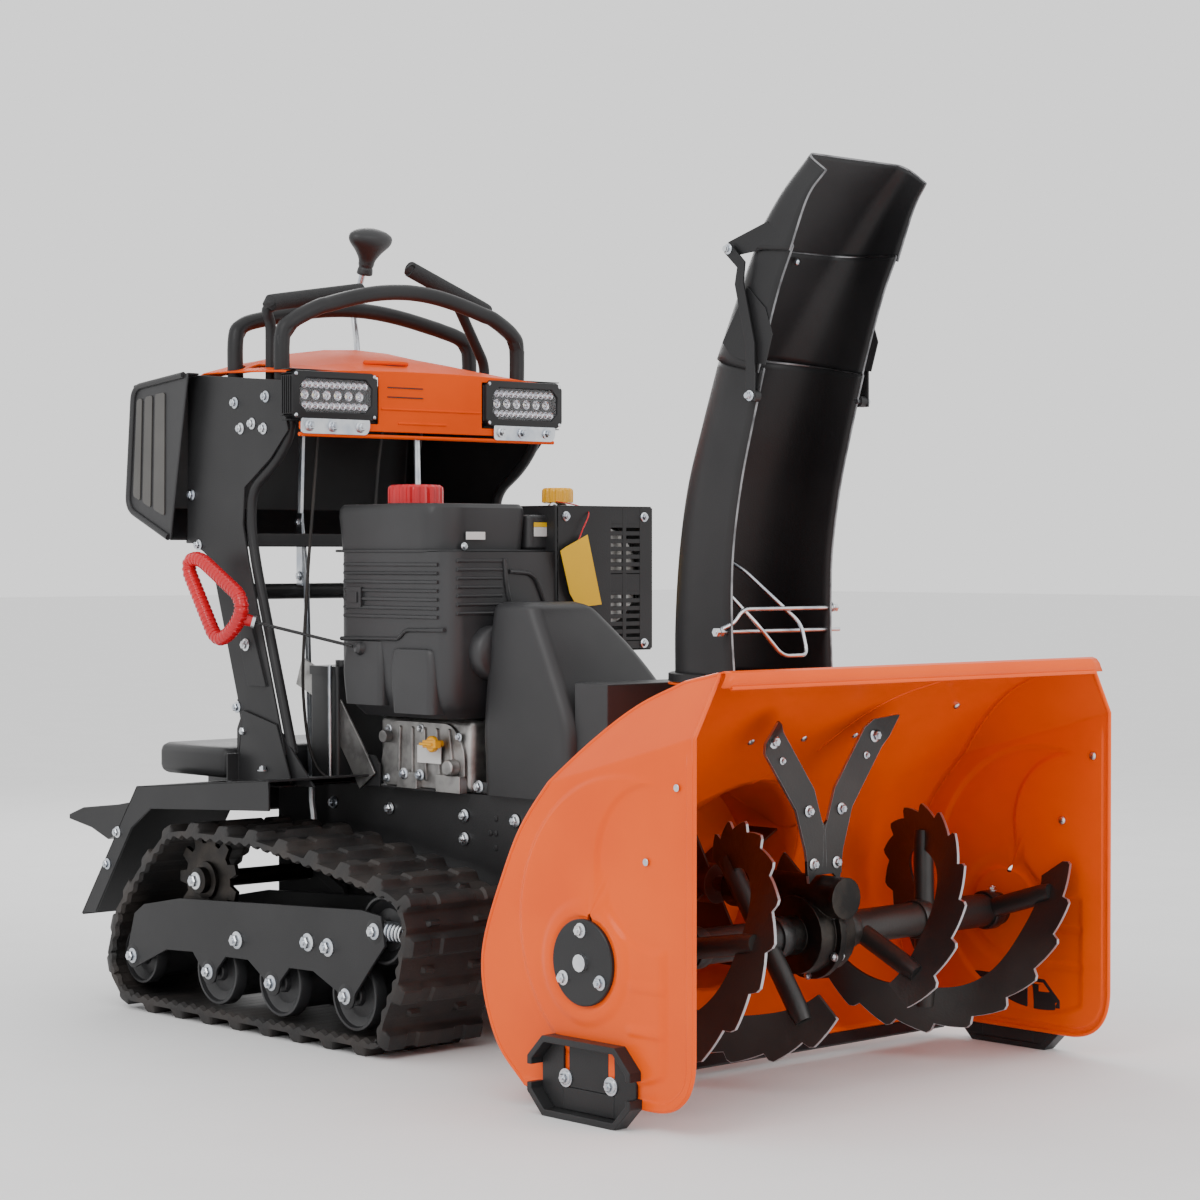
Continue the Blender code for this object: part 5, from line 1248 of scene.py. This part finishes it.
def shell_rows(rows):
    """Outlines of eight corners at given depths, joined into a skin and closed at both ends."""
    return net(np.stack([np.column_stack([o[:, 0], np.full(len(o), y), o[:, 1]]) for o, y in rows]),
               wrap_v=True, cap=True)


for side, tag in SIDES:
    cx, cz = side * 0.201, 1.0045
    outer = octagon(cx, cz, 0.0860, 0.0385, 0.010)
    case = shell_rows([(outer, 1.0720), (outer, 1.0480), (octagon(cx, cz, 0.0850, 0.0375, 0.010), 1.0440),
                       (octagon(cx, cz, 0.0740, 0.0280, 0.014), 1.0415),
                       (octagon(cx, cz, 0.0720, 0.0265, 0.013), 1.0425),
                       (octagon(cx, cz, 0.0700, 0.0255, 0.012), 1.0560)])
    fins = [box((cx - 0.0845, 1.0500, cz + dz), (cx + 0.0845, 1.0750, cz + dz + 0.0016))
            for dz in (-0.0405, -0.0335, 0.0330, 0.0395)]
    fins += [box((cx + sx * 0.0870 - 0.0012, 1.0480 + 0.005 * k, cz - 0.030),
                 (cx + sx * 0.0870 + 0.0012, 1.0505 + 0.005 * k, cz + 0.030)) for sx in (-1, 1)
             for k in range(5)]
    lamp = piece("lamp_case_" + tag, [case] + fins, "chassis", satin, round_edge=0.0008,
                 sharp=30)
    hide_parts("lamp_" + tag)
    cup = [(0.0012, 0.0), (0.0030, 0.0012), (0.0050, 0.0050), (0.0056, 0.0090)]
    cups, chips = [], []
    for row in range(3):
        for k in range(12):
            if row == 1 and k % 2:
                continue
            spot = (cx - 0.0605 + 0.0110 * k, 1.0548, cz - 0.0165 + 0.0165 * row)
            scale = 1.35 if row == 1 else 1.0
            d, u, v = frame_of((0, -1, 0))
            a = np.linspace(0, 2 * np.pi, 12, endpoint=False)
            ring = np.cos(a)[:, None] * u + np.sin(a)[:, None] * v
            cups.append(net(np.array([spot + h * d + r * scale * ring for r, h in cup]), wrap_v=True))
            chips.append(box((spot[0] - 0.0016 * scale, 1.0538, spot[2] - 0.0016 * scale),
                             (spot[0] + 0.0016 * scale, 1.0550, spot[2] + 0.0016 * scale)))
    piece("lamp_reflectors_" + tag, cups, "chassis", reflector, wall=0.0004)
    backing = [box((cx - 0.0700, 1.0552, cz - 0.0255), (cx + 0.0700, 1.0562, cz + 0.0255))]
    piece("lamp_backing_" + tag, backing, "chassis", black)
    piece("lamp_chips_" + tag, chips, "chassis", chip)
    pane = shell_rows([(octagon(cx, cz, 0.0705, 0.0258, 0.012), 1.0435),
                       (octagon(cx, cz, 0.0705, 0.0258, 0.012), 1.0445)])
    piece("lamp_window_" + tag, [pane], "chassis", glass)
    for sx in (-1, 1):
        for sz in (-1, 1):
            bolts += rivets([(cx + sx * 0.0785, 1.0435, cz + sz * 0.0325)], (0, -1, 0), 0.0032, 0.0014)
    bracket = [block(bent([(cx - 0.068, 0.943), (cx + 0.064, 0.943), (cx + 0.070, 0.9535),
                           (cx + 0.070, 0.9690), (cx - 0.068, 0.9690)], 0.006, 4, closed=True), "y", 1.0440,
                     1.0465), box((cx - 0.060, 1.0440, 0.9670), (cx + 0.060, 1.0700, 0.9695))]
    piece("lamp_bracket_" + tag, bracket, "chassis", zinc, round_edge=0.0005)
    for dx in (-0.052, -0.006, 0.050):
        bolts += hexbolt((cx + dx, 1.0440, 0.956), (0, -1, 0), 0.012)

# Console: moulded shell with a rolled rim and smoked side windows, open towards the dash.
dressed("rear_console", moulding, 0.0030)
smoked = painted("smoked_window", colour(0.050, 0.047, 0.043), colour(0.085, 0.080, 0.073), 0.22, 0.0001, 0.5)
shell_line = [(1.366, 0.780), (1.484, 0.829), (1.466, 1.031), (1.322, 1.046)]
for side, tag in SIDES:
    rim = bent([(side * 0.3005, y, z) for y, z in shell_line], 0.022, 8)
    piece("console_rim_" + tag, [tube(rim, 0.0055, 12)], "chassis", moulding)
    windows = [[(1.376, 0.815), (1.408, 0.826), (1.402, 1.018), (1.374, 1.020)],
               [(1.416, 0.829), (1.440, 0.838), (1.432, 1.014), (1.410, 1.017)],
               [(1.447, 0.841), (1.468, 0.849), (1.456, 1.011), (1.440, 1.013)]]
    panes = [block(bent(w, 0.006, 4, closed=True), "x", *sorted((side * 0.2990, side * 0.3022)))
             for w in windows]
    piece("console_windows_" + tag, panes, "chassis", smoked, round_edge=0.0008)
tray = [box((-0.262, 1.200, 0.7700), (0.262, 1.372, 0.7760)),
        box((-0.262, 1.196, 0.7640), (0.262, 1.204, 0.7860))]
piece("console_tray", tray, "chassis", moulding, round_edge=0.002)

# Operator levers: bent 18 mm steel rods with closed-cell foam sleeves.
foam = Finish("foam_grip_sleeve")
cells = foam.noise(700.0, 4.0)
foam.give("Base Color", foam.mix(cells.step(0.35, 0.65), colour(0.010, 0.010, 0.011),
                                 colour(0.030, 0.030, 0.031)))
foam.give("Roughness", cells * 0.2 + 0.7)
foam.bump(cells, 0.0012)
foam = foam.material
near_rod = bent([(-0.228, 1.180, 1.000), (-0.228, 1.180, 1.128), (-0.246, 1.172, 1.150),
                 (-0.210, 1.160, 1.160), (-0.072, 1.155, 1.184)], 0.016)
far_rod = bent([(0.228, 1.180, 1.000), (0.228, 1.180, 1.080), (0.150, 1.160, 1.178), (0.120, 1.155, 1.194)],
               0.016)
sleeves = {"r": [(-0.2500, 1.153, 1.156), (-0.2300, 1.153, 1.160), (-0.0800, 1.153, 1.184),
                 (-0.0660, 1.153, 1.186)],
           "l": [(0.0400, 1.152, 1.230), (0.0560, 1.152, 1.224), (0.1900, 1.154, 1.176),
                 (0.2120, 1.156, 1.168)]}
for tag, rod in (("r", near_rod), ("l", far_rod)):
    lever = piece("clutch_lever_rod_" + tag, [tube(rod, 0.0090, 16, up=(0, 1, 0))], "lever_" + tag, satin)
    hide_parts("clutch_lever_" + tag)
    path = curve(sleeves[tag], 10)
    ends = np.linspace(0, 1, len(path))
    radius = 0.0135 * np.minimum(1.0, np.sqrt(np.clip(1 - (2 * ends - 1) ** 16, 0.12, 1)))
    piece("lever_sleeve_" + tag, [tube(path, radius, 20, up=(0, 1, 0))], "lever_" + tag, foam)

# Shift lever: bright bent rod with a rubber boot and a broad flared knob.
shift_rod = bent([(0.036, 1.290, 0.985), (0.036, 1.290, 1.110), (0.036, 1.302, 1.170), (0.036, 1.274, 1.232)],
                 0.02)
stick = piece("shift_lever_rod", [tube(shift_rod, 0.0052, 16)], "shift_lever", zinc)
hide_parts("shift_lever")


def flared_knob():
    """A turned profile whose width across X is stretched more the higher it is: narrow ribbed neck,
    wide domed head with a slight roll at the rim."""
    rows = np.array([(0.0001, -0.004, 1), (0.0115, -0.004, 1), (0.0120, 0.004, 1), (0.0110, 0.008, 1),
                     (0.0122, 0.012, 1), (0.0130, 0.020, 1.05), (0.0175, 0.032, 1.25), (0.0225, 0.044, 1.50),
                     (0.0240, 0.053, 1.58), (0.0225, 0.061, 1.55), (0.0160, 0.067, 1.45),
                     (0.0070, 0.070, 1.40), (0.0001, 0.0705, 1.4)])
    p = curve(rows, 5)
    a = np.linspace(0, 2 * np.pi, 48, endpoint=False)
    r = np.maximum(p[:, 0], 0.0001)[:, None]
    x = r * p[:, 2][:, None] * np.cos(a)
    y = r * np.sin(a)
    z = p[:, 1][:, None] + 0 * a
    lean = math.radians(16)
    z = 1.08 * z
    return net(np.stack([0.040 + 1.14 * x, 1.274 + y * math.cos(lean) - z * math.sin(lean),
                         1.2335 + z * math.cos(lean) + y * math.sin(lean)], -1), wrap_v=True, cap=True)


piece("shift_knob", [flared_knob()], "shift_lever", moulding, sharp=60)
boot = turned([(0.0, 0), (0.020, 0), (0.018, 0.006), (0.014, 0.008), (0.015, 0.011), (0.010, 0.014),
               (0.0056, 0.020), (0, 0.020)], (0.036, 1.290, 1.070), (0, 0, 1), 32)
piece("shift_boot", [boot], "chassis", rubber)

# Rods and cables from the dash to the deck: bright clutch rod in two joined lengths, a
# straight regulator rod and three black control cables held at both ends.
joint = [box((-0.1490, 1.2020, 0.700), (-0.1450, 1.2180, 0.820))]
piece("control_rod_joint", joint, "control_rod", zinc, round_edge=0.001)
piece("control_rod_nuts", hexbolt((-0.1490, 1.210, 0.805), (-1, 0, 0), 0.010)
      + hexbolt((-0.1490, 1.208, 0.716), (-1, 0, 0), 0.010), "control_rod", zinc)
piece("regulator_rod", [tube([(-0.020, 1.062, 0.945), (-0.020, 1.058, 0.800), (-0.020, 1.060, 0.600)], 0.0055,
                             14)], "chassis", zinc)
cables = [curve([(-0.170, 1.130, 0.960), (-0.172, 1.140, 0.850), (-0.178, 1.150, 0.700),
                 (-0.186, 1.150, 0.520), (-0.176, 1.120, 0.400), (-0.120, 1.060, 0.386)], 10),
          curve([(-0.060, 1.100, 0.960), (-0.064, 1.110, 0.880), (-0.066, 1.115, 0.760),
                 (-0.050, 1.120, 0.600), (-0.030, 1.130, 0.440), (-0.020, 1.120, 0.384)], 10),
          curve([(0.030, 1.110, 0.960), (0.030, 1.125, 0.850), (0.034, 1.130, 0.700), (0.050, 1.135, 0.500),
                 (0.060, 1.110, 0.384)], 10)]
piece("control_cables", [tube(c, 0.0026, 10) for c in cables], "chassis", rubber)

piece("bolts_chassis", bolts, "chassis", zinc)
